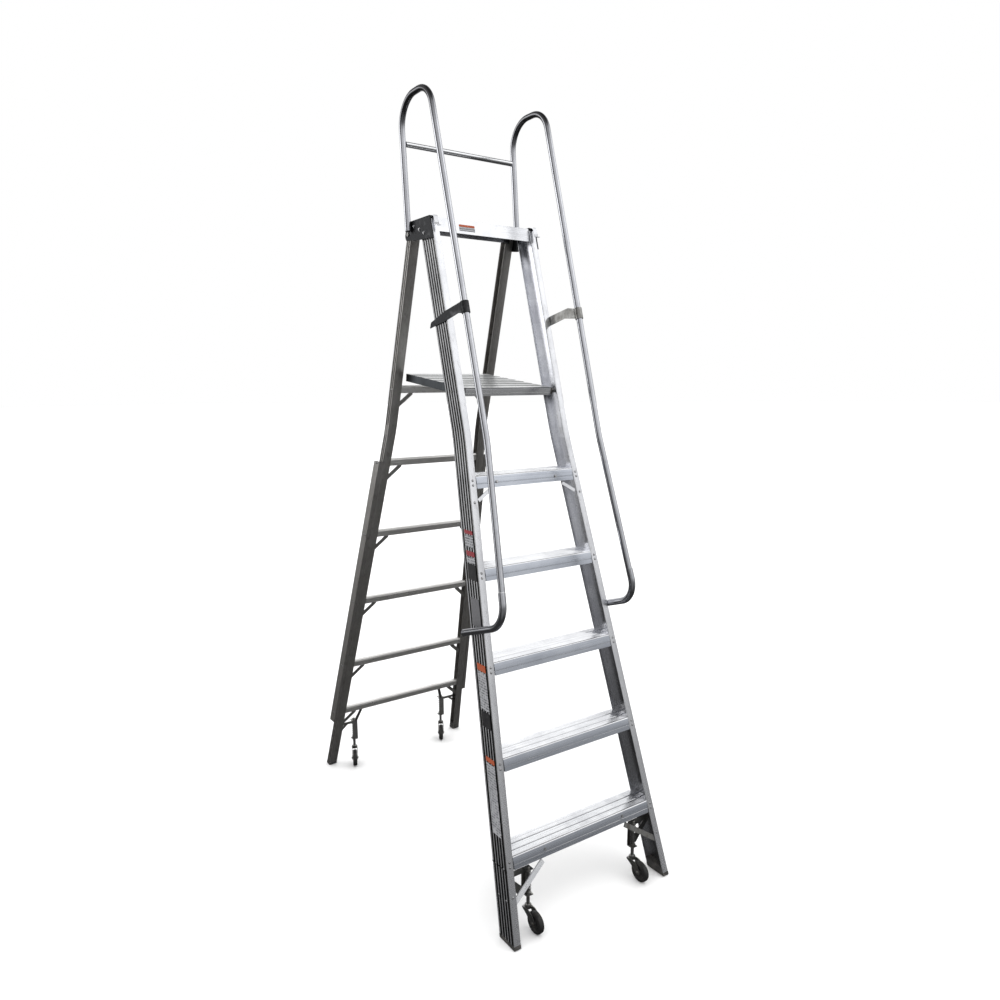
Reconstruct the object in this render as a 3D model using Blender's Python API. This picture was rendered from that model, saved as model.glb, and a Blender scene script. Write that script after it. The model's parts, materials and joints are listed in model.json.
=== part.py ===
"""Rolling warehouse ladder: A-frame, five treads and a platform, spring-loaded casters."""

from math import atan, cos, pi, sin, tan

import bmesh
import bpy
from mathutils import Matrix, Vector

# fits and clearances
GAP = 0.0004
BORE_GAP = 0.0003
SHEET = 0.003

# side view: each rail's front plane is y = foot + lean * z
FOOT_LIFT = 0.003
FRONT_FOOT_Y = -0.7788
FRONT_LEAN = 0.2884
REAR_FOOT_Y = 0.7448
REAR_LEAN = -0.2963
TOP_Z = 2.376
BEND_Z = 1.63
BEND_HALF = 0.03

# front view: half widths over the rail webs at floor, bend and top
FRONT_HALF = (0.3560, 0.2300, 0.2250)
REAR_HALF = (0.3660, 0.2365, 0.2247)

FRONT_DEPTH = 0.0853
FRONT_FLANGE = 0.0270
REAR_DEPTH = 0.0340
REAR_FLANGE = 0.0370

FIRST_STEP = 0.2828
STEP_RISE = 0.3048
STEP_COUNT = 5
STEP_DEPTH = 0.0950
STEP_FACE = 0.0420
GROOVE = (0.004, 0.0015)

# tread braces: distance in from the rail web at top and bottom, their drops below the tread, width
LOW_BRACE = ((0.15016, 0.0100), (0.02318, 0.1008), 0.018)
KNEE_BRACE = ((0.08376, 0.0080), (0.03223, 0.0400), 0.012)

RUNG_Z = (0.299, 0.549, 0.868, 1.183, 1.494, 1.790)
RUNG_TALL = 0.030
GUSSET = (0.050, 0.046, 0.016)

STIFFENER_OUT = 0.016
STIFFENER_DEPTH = 0.046
STIFFENER_Z = (0.250, 1.500)

PLATFORM_HALF = 0.1880
PLATFORM_FRONT = (0.0120, 1.7985)
PLATFORM_LENGTH = 0.4400
PLATFORM_RISE = 0.1190
PLATFORM_THICK = 0.0290
PLATFORM_RIBS = 11
HINGE_IN = (0.0220, 0.0145)
HINGE_RADIUS = 0.0040

TUBE_RADIUS = 0.0111
SLEEVE_RADIUS = 0.0123
POST_SIDE = 0.0007
POST_AHEAD = 0.0230
POST_LEAN = 0.0840
POST_FOOT_Z = TOP_Z - 0.024
LOOP_Z = TOP_Z + 0.419
RUN_STAND = 0.1520
LOOP_RADIUS = 0.095
SLEEVE_Z = 1.157
LOWER_CORNER_Z = 1.051
LOWER_END = (0.0260, 0.968)
LOWER_RADIUS = 0.080
CROSSBAR_Z = TOP_Z + 0.274
CROSSBAR_RADIUS = 0.0095
STANDOFF_Z = BEND_Z + 0.5764 * (TOP_Z - BEND_Z)  # clear of the bend, on the straight run above it

HEAD_PLATE = 0.0040
PLATE_GAP = 0.00031
PLATE_DROP = 0.026
PLATE_HEEL_DROP = 0.010
HEAD_Z = (TOP_Z - 0.040, TOP_Z + 0.008)
HEAD_INSET = (0.0032, 0.0300)
PIVOT_Z = TOP_Z - 0.031
PIVOT_RADIUS = 0.0050

# casters: end, side, swivel angle, then the stem's distance in from the rail and behind its plane
CASTERS = (
    ("front", -1, 0.0, 0.0975, 0.0203),
    ("front", 1, 0.0, 0.0975, 0.0203),
    ("rear", -1, -0.40, 0.1070, 0.0392),
    ("rear", 1, -0.50, 0.1070, 0.0392),
)
WHEEL_RADIUS = 0.0380
WHEEL_WIDTH = 0.0200
AXLE_RADIUS = 0.0040
TRAIL = 0.0440
STEM_RADIUS = 0.0060
ARM_TOP = 0.2130
ARM_LOW = 0.1180
COLLAR_Z = (0.1218, 0.1275)
SPRING_TURNS = 7
SPRING_WIRE = 0.0013
SPRING_MEAN = 0.0092

for old in list(bpy.data.objects):
    bpy.data.objects.remove(old)

ladder = bpy.data.collections.new("rolling_ladder")
cutters = bpy.data.collections.new("cutters")
bpy.context.scene.collection.children.link(ladder)
bpy.context.scene.collection.children.link(cutters)


def material(name, colour, roughness, metallic):
    made = bpy.data.materials.new(name)
    made.use_nodes = True
    shader = made.node_tree.nodes["Principled BSDF"]
    shader.inputs["Base Color"].default_value = (*colour, 1.0)
    shader.inputs["Roughness"].default_value = roughness
    shader.inputs["Metallic"].default_value = metallic
    return made


aluminium = material("aluminium", (0.80, 0.81, 0.82), 0.32, 1.0)
castHead = material("head_casting", (0.16, 0.17, 0.18), 0.55, 1.0)
zinc = material("zinc_plated", (0.62, 0.63, 0.62), 0.35, 1.0)
springSteel = material("spring_steel", (0.35, 0.35, 0.36), 0.30, 1.0)
footRubber = material("foot_rubber", (0.06, 0.06, 0.06), 0.80, 0.0)
wheelRubber = material("wheel_rubber", (0.02, 0.02, 0.02), 0.65, 0.0)


def halfAt(halves, z):
    """Half width over the webs: straight flare to the bend, then nearly parallel."""
    floor, bend, top = halves
    if z <= BEND_Z:
        return floor + (bend - floor) * z / BEND_Z
    return bend + (top - bend) * (z - BEND_Z) / (TOP_Z - BEND_Z)


def frontY(z):
    return FRONT_FOOT_Y + FRONT_LEAN * z


def rearY(z):
    return REAR_FOOT_Y + REAR_LEAN * z


def runY(z):
    return frontY(z) - RUN_STAND


def postY(z):
    return pivotY - POST_AHEAD + POST_LEAN * (z - POST_FOOT_Z)


def tubeX(z, radius):
    return max(railTubeX, halfAt(FRONT_HALF, z) + radius + GAP)


pivotY = rearY(PIVOT_Z) + REAR_DEPTH / 2
plateFoot = HEAD_Z[0] - PLATE_DROP
plateHeel = HEAD_Z[0] - PLATE_HEEL_DROP
plateIn = max(halfAt(FRONT_HALF, plateFoot), halfAt(REAR_HALF, plateHeel)) + PLATE_GAP
plateOut = plateIn + HEAD_PLATE
railTubeX = max(plateOut + POST_SIDE, FRONT_HALF[1] + GAP) + TUBE_RADIUS


def finish(name, mesh, slot, smooth=False, helper=False):
    obj = bpy.data.objects.new(name, mesh)
    (cutters if helper else ladder).objects.link(obj)
    if helper:
        obj.hide_render = True
        obj.display_type = "WIRE"
    else:
        mesh.materials.append(slot)
    for face in mesh.polygons:
        face.use_smooth = smooth
    if smooth:
        mesh.set_sharp_from_angle(angle=0.6)
    return obj


def fromBmesh(name, bm, slot, smooth=False, helper=False):
    bmesh.ops.recalc_face_normals(bm, faces=bm.faces)
    mesh = bpy.data.meshes.new(name)
    bm.to_mesh(mesh)
    bm.free()
    return finish(name, mesh, slot, smooth, helper)


def loft(name, rings, slot, helper=False):
    """A closed skin over rings that have the same number of points."""
    bm = bmesh.new()
    made = [[bm.verts.new(point) for point in ring] for ring in rings]
    count = len(made[0])
    for low, high in zip(made, made[1:]):
        for i in range(count):
            j = (i + 1) % count
            bm.faces.new((low[i], low[j], high[j], high[i]))
    bm.faces.new(made[0])
    bm.faces.new(made[-1])
    return fromBmesh(name, bm, slot, False, helper)


def prism(name, outline, place, slot, helper=False):
    """An outline of (u, v) points swept from place(u, v, 0) to place(u, v, 1)."""
    rings = [[place(u, v, end) for u, v in outline] for end in (0, 1)]
    return loft(name, rings, slot, helper)


def cylinder(name, radius, start, end, slot, sides=24, helper=False):
    start, end = Vector(start), Vector(end)
    axis = end - start
    bm = bmesh.new()
    turn = axis.to_track_quat("Z", "Y").to_matrix().to_4x4()
    bmesh.ops.create_cone(
        bm,
        cap_ends=True,
        segments=sides,
        radius1=radius,
        radius2=radius,
        depth=axis.length,
        matrix=Matrix.Translation((start + end) / 2) @ turn,
    )
    return fromBmesh(name, bm, slot, True, helper)


def box(name, low, high, slot, helper=False):
    outline = ((low[0], low[1]), (high[0], low[1]), (high[0], high[1]), (low[0], high[1]))
    span = high[2] - low[2]
    return prism(name, outline, lambda u, v, t: (u, v, low[2] + span * t), slot, helper)


def combine(target, tool, operation):
    modifier = target.modifiers.new(operation.lower() + "_" + tool.name, "BOOLEAN")
    modifier.operation = operation
    modifier.solver = "EXACT"
    modifier.object = tool
    return target


def rounded(corners, radii, steps=7):
    """The corner path with an arc of the given radius at each inner corner."""
    corners = [Vector(corner) for corner in corners]
    path = [corners[0]]
    for before, here, after, radius in zip(corners, corners[1:], corners[2:], radii):
        back = (before - here).normalized()
        ahead = (after - here).normalized()
        angle = back.angle(ahead)
        if radius == 0 or angle > pi - 0.01:
            path.append(here)
            continue
        reach = radius / tan(angle / 2)
        centre = here + (back + ahead).normalized() * (radius / sin(angle / 2))
        first = here + back * reach - centre
        last = here + ahead * reach - centre
        total = first.angle(last)
        for i in range(steps + 1):
            share = i / steps
            mixed = first * sin((1 - share) * total) + last * sin(share * total)
            path.append(centre + mixed / sin(total))
    path.append(corners[-1])
    return path


def tube(name, path, radius, slot, resolution=3):
    curve = bpy.data.curves.new(name, "CURVE")
    curve.dimensions = "3D"
    curve.bevel_depth = radius
    curve.bevel_resolution = resolution
    curve.use_fill_caps = True
    spline = curve.splines.new("POLY")
    spline.points.add(len(path) - 1)
    for point, at in zip(spline.points, path):
        point.co = (*at, 1.0)
    source = bpy.data.objects.new(name + "_path", curve)
    cutters.objects.link(source)
    source.hide_render = True
    graph = bpy.context.evaluated_depsgraph_get()
    mesh = bpy.data.meshes.new_from_object(source.evaluated_get(graph))
    mesh.materials.clear()
    bpy.data.objects.remove(source)
    bm = bmesh.new()
    bm.from_mesh(mesh)
    bmesh.ops.remove_doubles(bm, verts=bm.verts, dist=1e-5)
    return fromBmesh(name, bm, slot, True)


# rails: open channels with the web outside and both flanges pointing inwards
def channelRing(side, half, front, depth, flange, z):
    outer, inner = side * half, side * (half - flange)
    web = side * (half - SHEET)
    back = front + depth
    return [
        (outer, front, z),
        (outer, back, z),
        (inner, back, z),
        (inner, back - SHEET, z),
        (web, back - SHEET, z),
        (web, front + SHEET, z),
        (inner, front + SHEET, z),
        (inner, front, z),
    ]


def railStations(low, high):
    bend = (BEND_Z - BEND_HALF, BEND_Z, BEND_Z + BEND_HALF)
    return [low] + [z for z in bend if low < z < high] + [high]


def rail(name, side, halves, yAt, depth, flange, low):
    rings = [
        channelRing(side, halfAt(halves, z), yAt(z), depth, flange, z)
        for z in railStations(low, TOP_Z)
    ]
    return loft(name, rings, aluminium)


FOOT_SOLE = 0.012
FOOT_TALL = 0.036
frontRails = {}
rearRails = {}
for side, word in ((-1, "left"), (1, "right")):
    railFoot = FOOT_LIFT + FOOT_SOLE + GAP
    frontRails[side] = rail(
        "front_rail_" + word, side, FRONT_HALF, frontY, FRONT_DEPTH, FRONT_FLANGE, railFoot
    )
    rearRails[side] = rail(
        "rear_rail_" + word, side, REAR_HALF, rearY, REAR_DEPTH, REAR_FLANGE, railFoot
    )
    for end, halves, yAt, depth, flange in (
        ("front", FRONT_HALF, frontY, FRONT_DEPTH, FRONT_FLANGE),
        ("rear", REAR_HALF, rearY, REAR_DEPTH, REAR_FLANGE),
    ):
        name = "foot_" + end + "_" + word

        def footRing(z, wall):
            outer = side * (halfAt(halves, z) - wall)
            inner = side * (halfAt(halves, z) - flange)
            front, back = yAt(z) + wall, yAt(z) + depth - wall
            return [(outer, front, z), (outer, back, z), (inner, back, z), (inner, front, z)]

        soleZ = (FOOT_LIFT, FOOT_LIFT + FOOT_SOLE)
        foot = loft(name, [footRing(z, 0) for z in soleZ], footRubber)
        plugZ = (FOOT_LIFT + FOOT_SOLE / 2, FOOT_TALL)
        plug = loft(name + "_plug", [footRing(z, SHEET + GAP) for z in plugZ], None, True)
        combine(foot, plug, "UNION")

# treads: channels open below, full depth between the flanges and narrower inside them
def treadRing(x, z, front, back):
    width, deep = GROOVE
    third = (back - front) / 3
    top = [front]
    for k in (1, 2):
        middle = front + third * k
        top += [middle - width / 2, middle + width / 2]
    low = z - STEP_FACE
    points = [(front, z)]
    for k in (1, 2):
        start = top[2 * k - 1]
        end = top[2 * k]
        points += [(start, z), (start, z - deep), (end, z - deep), (end, z)]
    points += [
        (back, z),
        (back, low),
        (back - SHEET, low),
        (back - SHEET, z - SHEET - deep),
        (front + SHEET, z - SHEET - deep),
        (front + SHEET, low),
        (front, low),
    ]
    return [(x, y + FRONT_LEAN * (pz - z), pz) for y, pz in points]


for k in range(STEP_COUNT):
    z = FIRST_STEP + STEP_RISE * k
    tongue = halfAt(FRONT_HALF, z) - SHEET - GAP
    full = halfAt(FRONT_HALF, z) - FRONT_FLANGE - GAP
    front = frontY(z)
    wide = (front - 0.0005, front + STEP_DEPTH)
    slim = (front + SHEET + GAP, front + FRONT_DEPTH - SHEET - GAP)
    rings = []
    for x, (near, far) in (
        (-tongue, slim),
        (-full, slim),
        (-full + 0.002, wide),
        (full - 0.002, wide),
        (full, slim),
        (tongue, slim),
    ):
        rings.append(treadRing(x, z, near, far))
    loft("step_" + str(k + 1), rings, aluminium)


# flat straps that follow the lean of a rail plane
def leaningPlate(name, outline, yAt, offset, thick, slot, helper=False):
    def place(x, z, t):
        return (x, yAt(z) + offset + thick * t, z)

    return prism(name, outline, place, slot, helper)


def strap(start, end, width):
    a, b = Vector(start), Vector(end)
    across = (b - a).normalized()
    across = Vector((-across.y, across.x)) * width / 2
    return [tuple(a + across), tuple(b + across), tuple(b - across), tuple(a - across)]


def braceUnder(name, side, face, shape, thick):
    ends = []
    for inward, drop in shape[:2]:
        z = face - drop
        ends.append((side * (halfAt(FRONT_HALF, z) - inward), z))
    leaningPlate(name, strap(*ends, shape[2]), frontY, SHEET + GAP, thick, aluminium)


lowFace = FIRST_STEP - STEP_FACE
kneeFace = FIRST_STEP + STEP_RISE * (STEP_COUNT - 1) - STEP_FACE
for side, word in ((-1, "left"), (1, "right")):
    braceUnder("step_1_brace_" + word, side, lowFace, LOW_BRACE, 0.004)
    braceUnder("step_5_brace_" + word, side, kneeFace, KNEE_BRACE, 0.003)

# rear rungs with a strap to each rail
for k, z in enumerate(RUNG_Z):
    low, high = z - RUNG_TALL / 2, z + RUNG_TALL / 2
    half = halfAt(REAR_HALF, high) - SHEET - GAP
    front, back = SHEET + GAP, REAR_DEPTH - SHEET - GAP
    outline = (
        (front, low),
        (front, high - 0.004),
        (front + 0.004, high),
        (back - 0.004, high),
        (back, high - 0.004),
        (back, low),
        (back - 0.004, low),
        (back - 0.004, high - 0.010),
        (front + 0.004, high - 0.010),
        (front + 0.004, low),
    )

    def rungPlace(u, v, t):
        return ((2 * t - 1) * half, rearY(v) + u, v)

    rung = prism("rear_rung_" + str(k + 1), outline, rungPlace, aluminium)
    acrossX, dropZ, wide = GUSSET
    for side in (-1, 1):
        inner = halfAt(REAR_HALF, z) - REAR_FLANGE
        ends = ((side * (inner - acrossX), low + 0.002), (side * (inner + 0.012), low - dropZ - 0.008))
        shape = strap(*ends, wide)
        name = "rung_strap_" + str(k + 1) + ("_right" if side > 0 else "_left")
        plate = leaningPlate(name, shape, rearY, front + 0.0002, 0.0030, None, True)
        combine(rung, plate, "UNION")

# outer channels on the rear rails
for side, word in ((-1, "left"), (1, "right")):

    def stiffRing(z):
        near = halfAt(REAR_HALF, z) + GAP
        far = near + STIFFENER_OUT
        front = rearY(z)
        back = front + STIFFENER_DEPTH
        lip = 0.004
        return [
            (side * near, front, z),
            (side * far, front, z),
            (side * far, back, z),
            (side * near, back, z),
            (side * near, back - lip, z),
            (side * (far - lip), back - lip, z),
            (side * (far - lip), front + lip, z),
            (side * near, front + lip, z),
        ]

    loft("rear_stiffener_" + word, [stiffRing(z) for z in STIFFENER_Z], aluminium)

# head: cross channel, two end brackets, pivot pins
headHalf = halfAt(FRONT_HALF, TOP_Z) - FRONT_FLANGE - GAP
lowZ, highZ = HEAD_Z
nearY = frontY(highZ) + HEAD_INSET[0]
farY = pivotY - HEAD_INSET[1]
headOutline = (
    (nearY - 0.012, lowZ),
    (nearY, highZ),
    (farY, highZ),
    (farY, lowZ + 0.012),
    (farY - SHEET, lowZ + 0.012),
    (farY - SHEET, highZ - SHEET),
    (nearY + SHEET, highZ - SHEET),
    (nearY - 0.012 + SHEET, lowZ),
)


def acrossHead(u, v, t):
    return ((2 * t - 1) * headHalf, u, v)


prism("head_channel", headOutline, acrossHead, aluminium)

for side, word in ((-1, "left"), (1, "right")):
    outline = (
        (frontY(plateFoot), plateFoot),
        (pivotY - 0.040, lowZ - 0.018),
        (pivotY + 0.018, plateHeel),
        (pivotY + 0.024, PIVOT_Z - 0.005),
        (pivotY + 0.016, PIVOT_Z + 0.021),
        (pivotY - 0.010, highZ + SHEET),
        (frontY(highZ) + 0.001, highZ + SHEET),
    )

    def outward(u, v, t):
        return (side * (plateIn + HEAD_PLATE * t), u, v)

    bracket = prism("head_bracket_" + word, outline, outward, castHead)
    flange = box(
        "head_flange_" + word,
        (min(side * (headHalf + GAP), side * (plateIn + 0.001)), frontY(highZ) + 0.001, highZ),
        (max(side * (headHalf + GAP), side * (plateIn + 0.001)), pivotY - 0.012, highZ + SHEET),
        None,
        True,
    )
    combine(bracket, flange, "UNION")
    tab = frontY(highZ)
    lip = (
        (tab + 0.0042, highZ + SHEET),
        (tab - 0.0138, highZ + SHEET),
        (tab - 0.0248, highZ - 0.0320),
        (tab - 0.0388, highZ - 0.0320),
        (tab - 0.0388, highZ - 0.0345),
        (tab - 0.0270, highZ - 0.0345),
        (tab - 0.0120, highZ + 0.0003),
        (tab + 0.0042, highZ + 0.0003),
    )

    def lipPlace(u, v, t):
        return (side * (0.2060 + 0.0160 * t), u, v)

    combine(bracket, prism("head_lip_" + word, lip, lipPlace, None, True), "UNION")
    reach = (side * (plateIn - 0.02), side * (plateOut + 0.02))
    bore = cylinder(
        "pivot_bore_" + word,
        PIVOT_RADIUS + BORE_GAP,
        (reach[0], pivotY, PIVOT_Z),
        (reach[1], pivotY, PIVOT_Z),
        None,
        24,
        True,
    )
    combine(bracket, bore, "DIFFERENCE")
    combine(rearRails[side], bore, "DIFFERENCE")
    inside = side * (REAR_HALF[2] - SHEET - 0.0045)
    outside = side * (plateOut + GAP + 0.0035)
    pin = cylinder(
        "rear_pivot_pin_" + word,
        PIVOT_RADIUS,
        (inside, pivotY, PIVOT_Z),
        (outside, pivotY, PIVOT_Z),
        zinc,
        24,
    )
    head = cylinder(
        "pivot_head_" + word,
        PIVOT_RADIUS + 0.0020,
        (side * (plateOut + GAP), pivotY, PIVOT_Z),
        (outside, pivotY, PIVOT_Z),
        None,
        24,
        True,
    )
    combine(pin, head, "UNION")

# platform: ribbed deck with skirts, tilted a little up at the rear
tilt = atan(PLATFORM_RISE)
deckZ = PLATFORM_FRONT[1]
deckY = frontY(deckZ) + PLATFORM_FRONT[0]


def onDeck(along, up):
    return (
        deckY + along * cos(tilt) - up * sin(tilt),
        deckZ + along * sin(tilt) + up * cos(tilt),
    )


pitch = PLATFORM_LENGTH / PLATFORM_RIBS
deckOutline = [(0, -PLATFORM_THICK)]
for i in range(PLATFORM_RIBS):
    start = i * pitch
    deckOutline += [(start, 0), (start + pitch * 0.7, 0)]
    if i < PLATFORM_RIBS - 1:
        deckOutline += [(start + pitch * 0.7, -0.0015), (start + pitch, -0.0015)]
deckOutline[-1] = (PLATFORM_LENGTH, 0)
deckOutline.append((PLATFORM_LENGTH, -PLATFORM_THICK))


def deckPlace(u, v, t):
    y, z = onDeck(u, v)
    return ((2 * t - 1) * PLATFORM_HALF, y, z)


platform = prism("platform", deckOutline, deckPlace, aluminium)
pocketOutline = (
    (0.004, -PLATFORM_THICK - 0.01),
    (PLATFORM_LENGTH - 0.004, -PLATFORM_THICK - 0.01),
    (PLATFORM_LENGTH - 0.004, -0.0055),
    (0.004, -0.0055),
)


def pocketPlace(u, v, t):
    y, z = onDeck(u, v)
    return ((2 * t - 1) * (PLATFORM_HALF - 0.004), y, z)


combine(platform, prism("deck_pocket", pocketOutline, pocketPlace, None, True), "DIFFERENCE")

hingeY, hingeZ = onDeck(HINGE_IN[0], -HINGE_IN[1])
webHalf = halfAt(FRONT_HALF, hingeZ)
for side, word in ((-1, "left"), (1, "right")):
    bore = cylinder(
        "hinge_bore_" + word,
        HINGE_RADIUS + BORE_GAP,
        (side * (PLATFORM_HALF - 0.02), hingeY, hingeZ),
        (side * (webHalf + 0.02), hingeY, hingeZ),
        None,
        20,
        True,
    )
    combine(platform, bore, "DIFFERENCE")
    combine(frontRails[side], bore, "DIFFERENCE")
    pin = cylinder(
        "platform_pin_" + word,
        HINGE_RADIUS,
        (side * (PLATFORM_HALF - 0.010), hingeY, hingeZ),
        (side * (webHalf + GAP + 0.004), hingeY, hingeZ),
        zinc,
        20,
    )
    collar = cylinder(
        "hinge_collar_" + word,
        HINGE_RADIUS + 0.004,
        (side * (PLATFORM_HALF + 0.0006), hingeY, hingeZ),
        (side * (webHalf - SHEET - 0.0010), hingeY, hingeZ),
        None,
        20,
        True,
    )
    combine(pin, collar, "UNION")

# handrails
for side, word in ((-1, "left"), (1, "right")):

    def onTube(y, z, radius=TUBE_RADIUS):
        return (side * tubeX(z, radius), y, z)

    corners = [
        onTube(postY(POST_FOOT_Z), POST_FOOT_Z),
        onTube(postY(LOOP_Z), LOOP_Z),
        onTube(runY(LOOP_Z), LOOP_Z),
        onTube(runY(BEND_Z), BEND_Z),
        onTube(runY(SLEEVE_Z), SLEEVE_Z),
    ]
    path = rounded(corners, (LOOP_RADIUS, LOOP_RADIUS, 0.6), 8)
    tube("handrail_" + word, path, TUBE_RADIUS, aluminium)
    sleeveTop = SLEEVE_Z - GAP
    endBack, endZ = LOWER_END
    corners = [
        onTube(runY(sleeveTop), sleeveTop, SLEEVE_RADIUS),
        onTube(runY(LOWER_CORNER_Z), LOWER_CORNER_Z, SLEEVE_RADIUS),
        onTube(frontY(endZ) + FRONT_DEPTH + endBack, endZ, SLEEVE_RADIUS),
    ]
    path = rounded(corners, (LOWER_RADIUS,), 8)
    tube("handrail_lower_bend_" + word, path, SLEEVE_RADIUS, aluminium)
    plateX = halfAt(FRONT_HALF, STANDOFF_Z - 0.05) + GAP
    behind = frontY(STANDOFF_Z) + FRONT_DEPTH
    high, low = STANDOFF_Z + 0.018, STANDOFF_Z - 0.018
    shape = (
        (behind + 0.018, STANDOFF_Z - 0.054),
        (behind + 0.010, STANDOFF_Z - 0.034),
        (behind - 0.092, STANDOFF_Z),
        (behind - 0.192, STANDOFF_Z + 0.022),
        (runY(high) + 0.007, high),
        (runY(low) + 0.007, low),
        (behind - 0.172, STANDOFF_Z - 0.014),
        (behind - 0.092, STANDOFF_Z - 0.034),
    )

    def standoffPlace(u, v, t):
        return (side * (plateX + 0.003 * t), u, v)

    standoff = prism("handrail_standoff_" + word, shape, standoffPlace, castHead)
    ringLow = onTube(runY(STANDOFF_Z - 0.019), STANDOFF_Z - 0.019)
    ringHigh = onTube(runY(STANDOFF_Z + 0.019), STANDOFF_Z + 0.019)
    ring = cylinder("standoff_ring_" + word, TUBE_RADIUS + 0.0034, ringLow, ringHigh, None, 24, True)
    boreLow = onTube(runY(STANDOFF_Z - 0.06), STANDOFF_Z - 0.06)
    boreHigh = onTube(runY(STANDOFF_Z + 0.06), STANDOFF_Z + 0.06)
    bore = cylinder("standoff_bore_" + word, TUBE_RADIUS + GAP, boreLow, boreHigh, None, 24, True)
    combine(standoff, ring, "UNION")
    combine(standoff, bore, "DIFFERENCE")

barHalf = railTubeX - TUBE_RADIUS - GAP
cylinder(
    "handrail_crossbar",
    CROSSBAR_RADIUS,
    (-barHalf, postY(CROSSBAR_Z), CROSSBAR_Z),
    (barHalf, postY(CROSSBAR_Z), CROSSBAR_Z),
    aluminium,
    20,
)


# casters
def onCaster(x, y, turn):
    """Places a point given in the caster's own frame, with the wheel ahead of the stem."""
    spin = Matrix.Rotation(turn, 4, "Z")

    def place(px, py, pz):
        return Matrix.Translation((x, y, 0)) @ spin @ Vector((px, py, pz))

    return place


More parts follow.
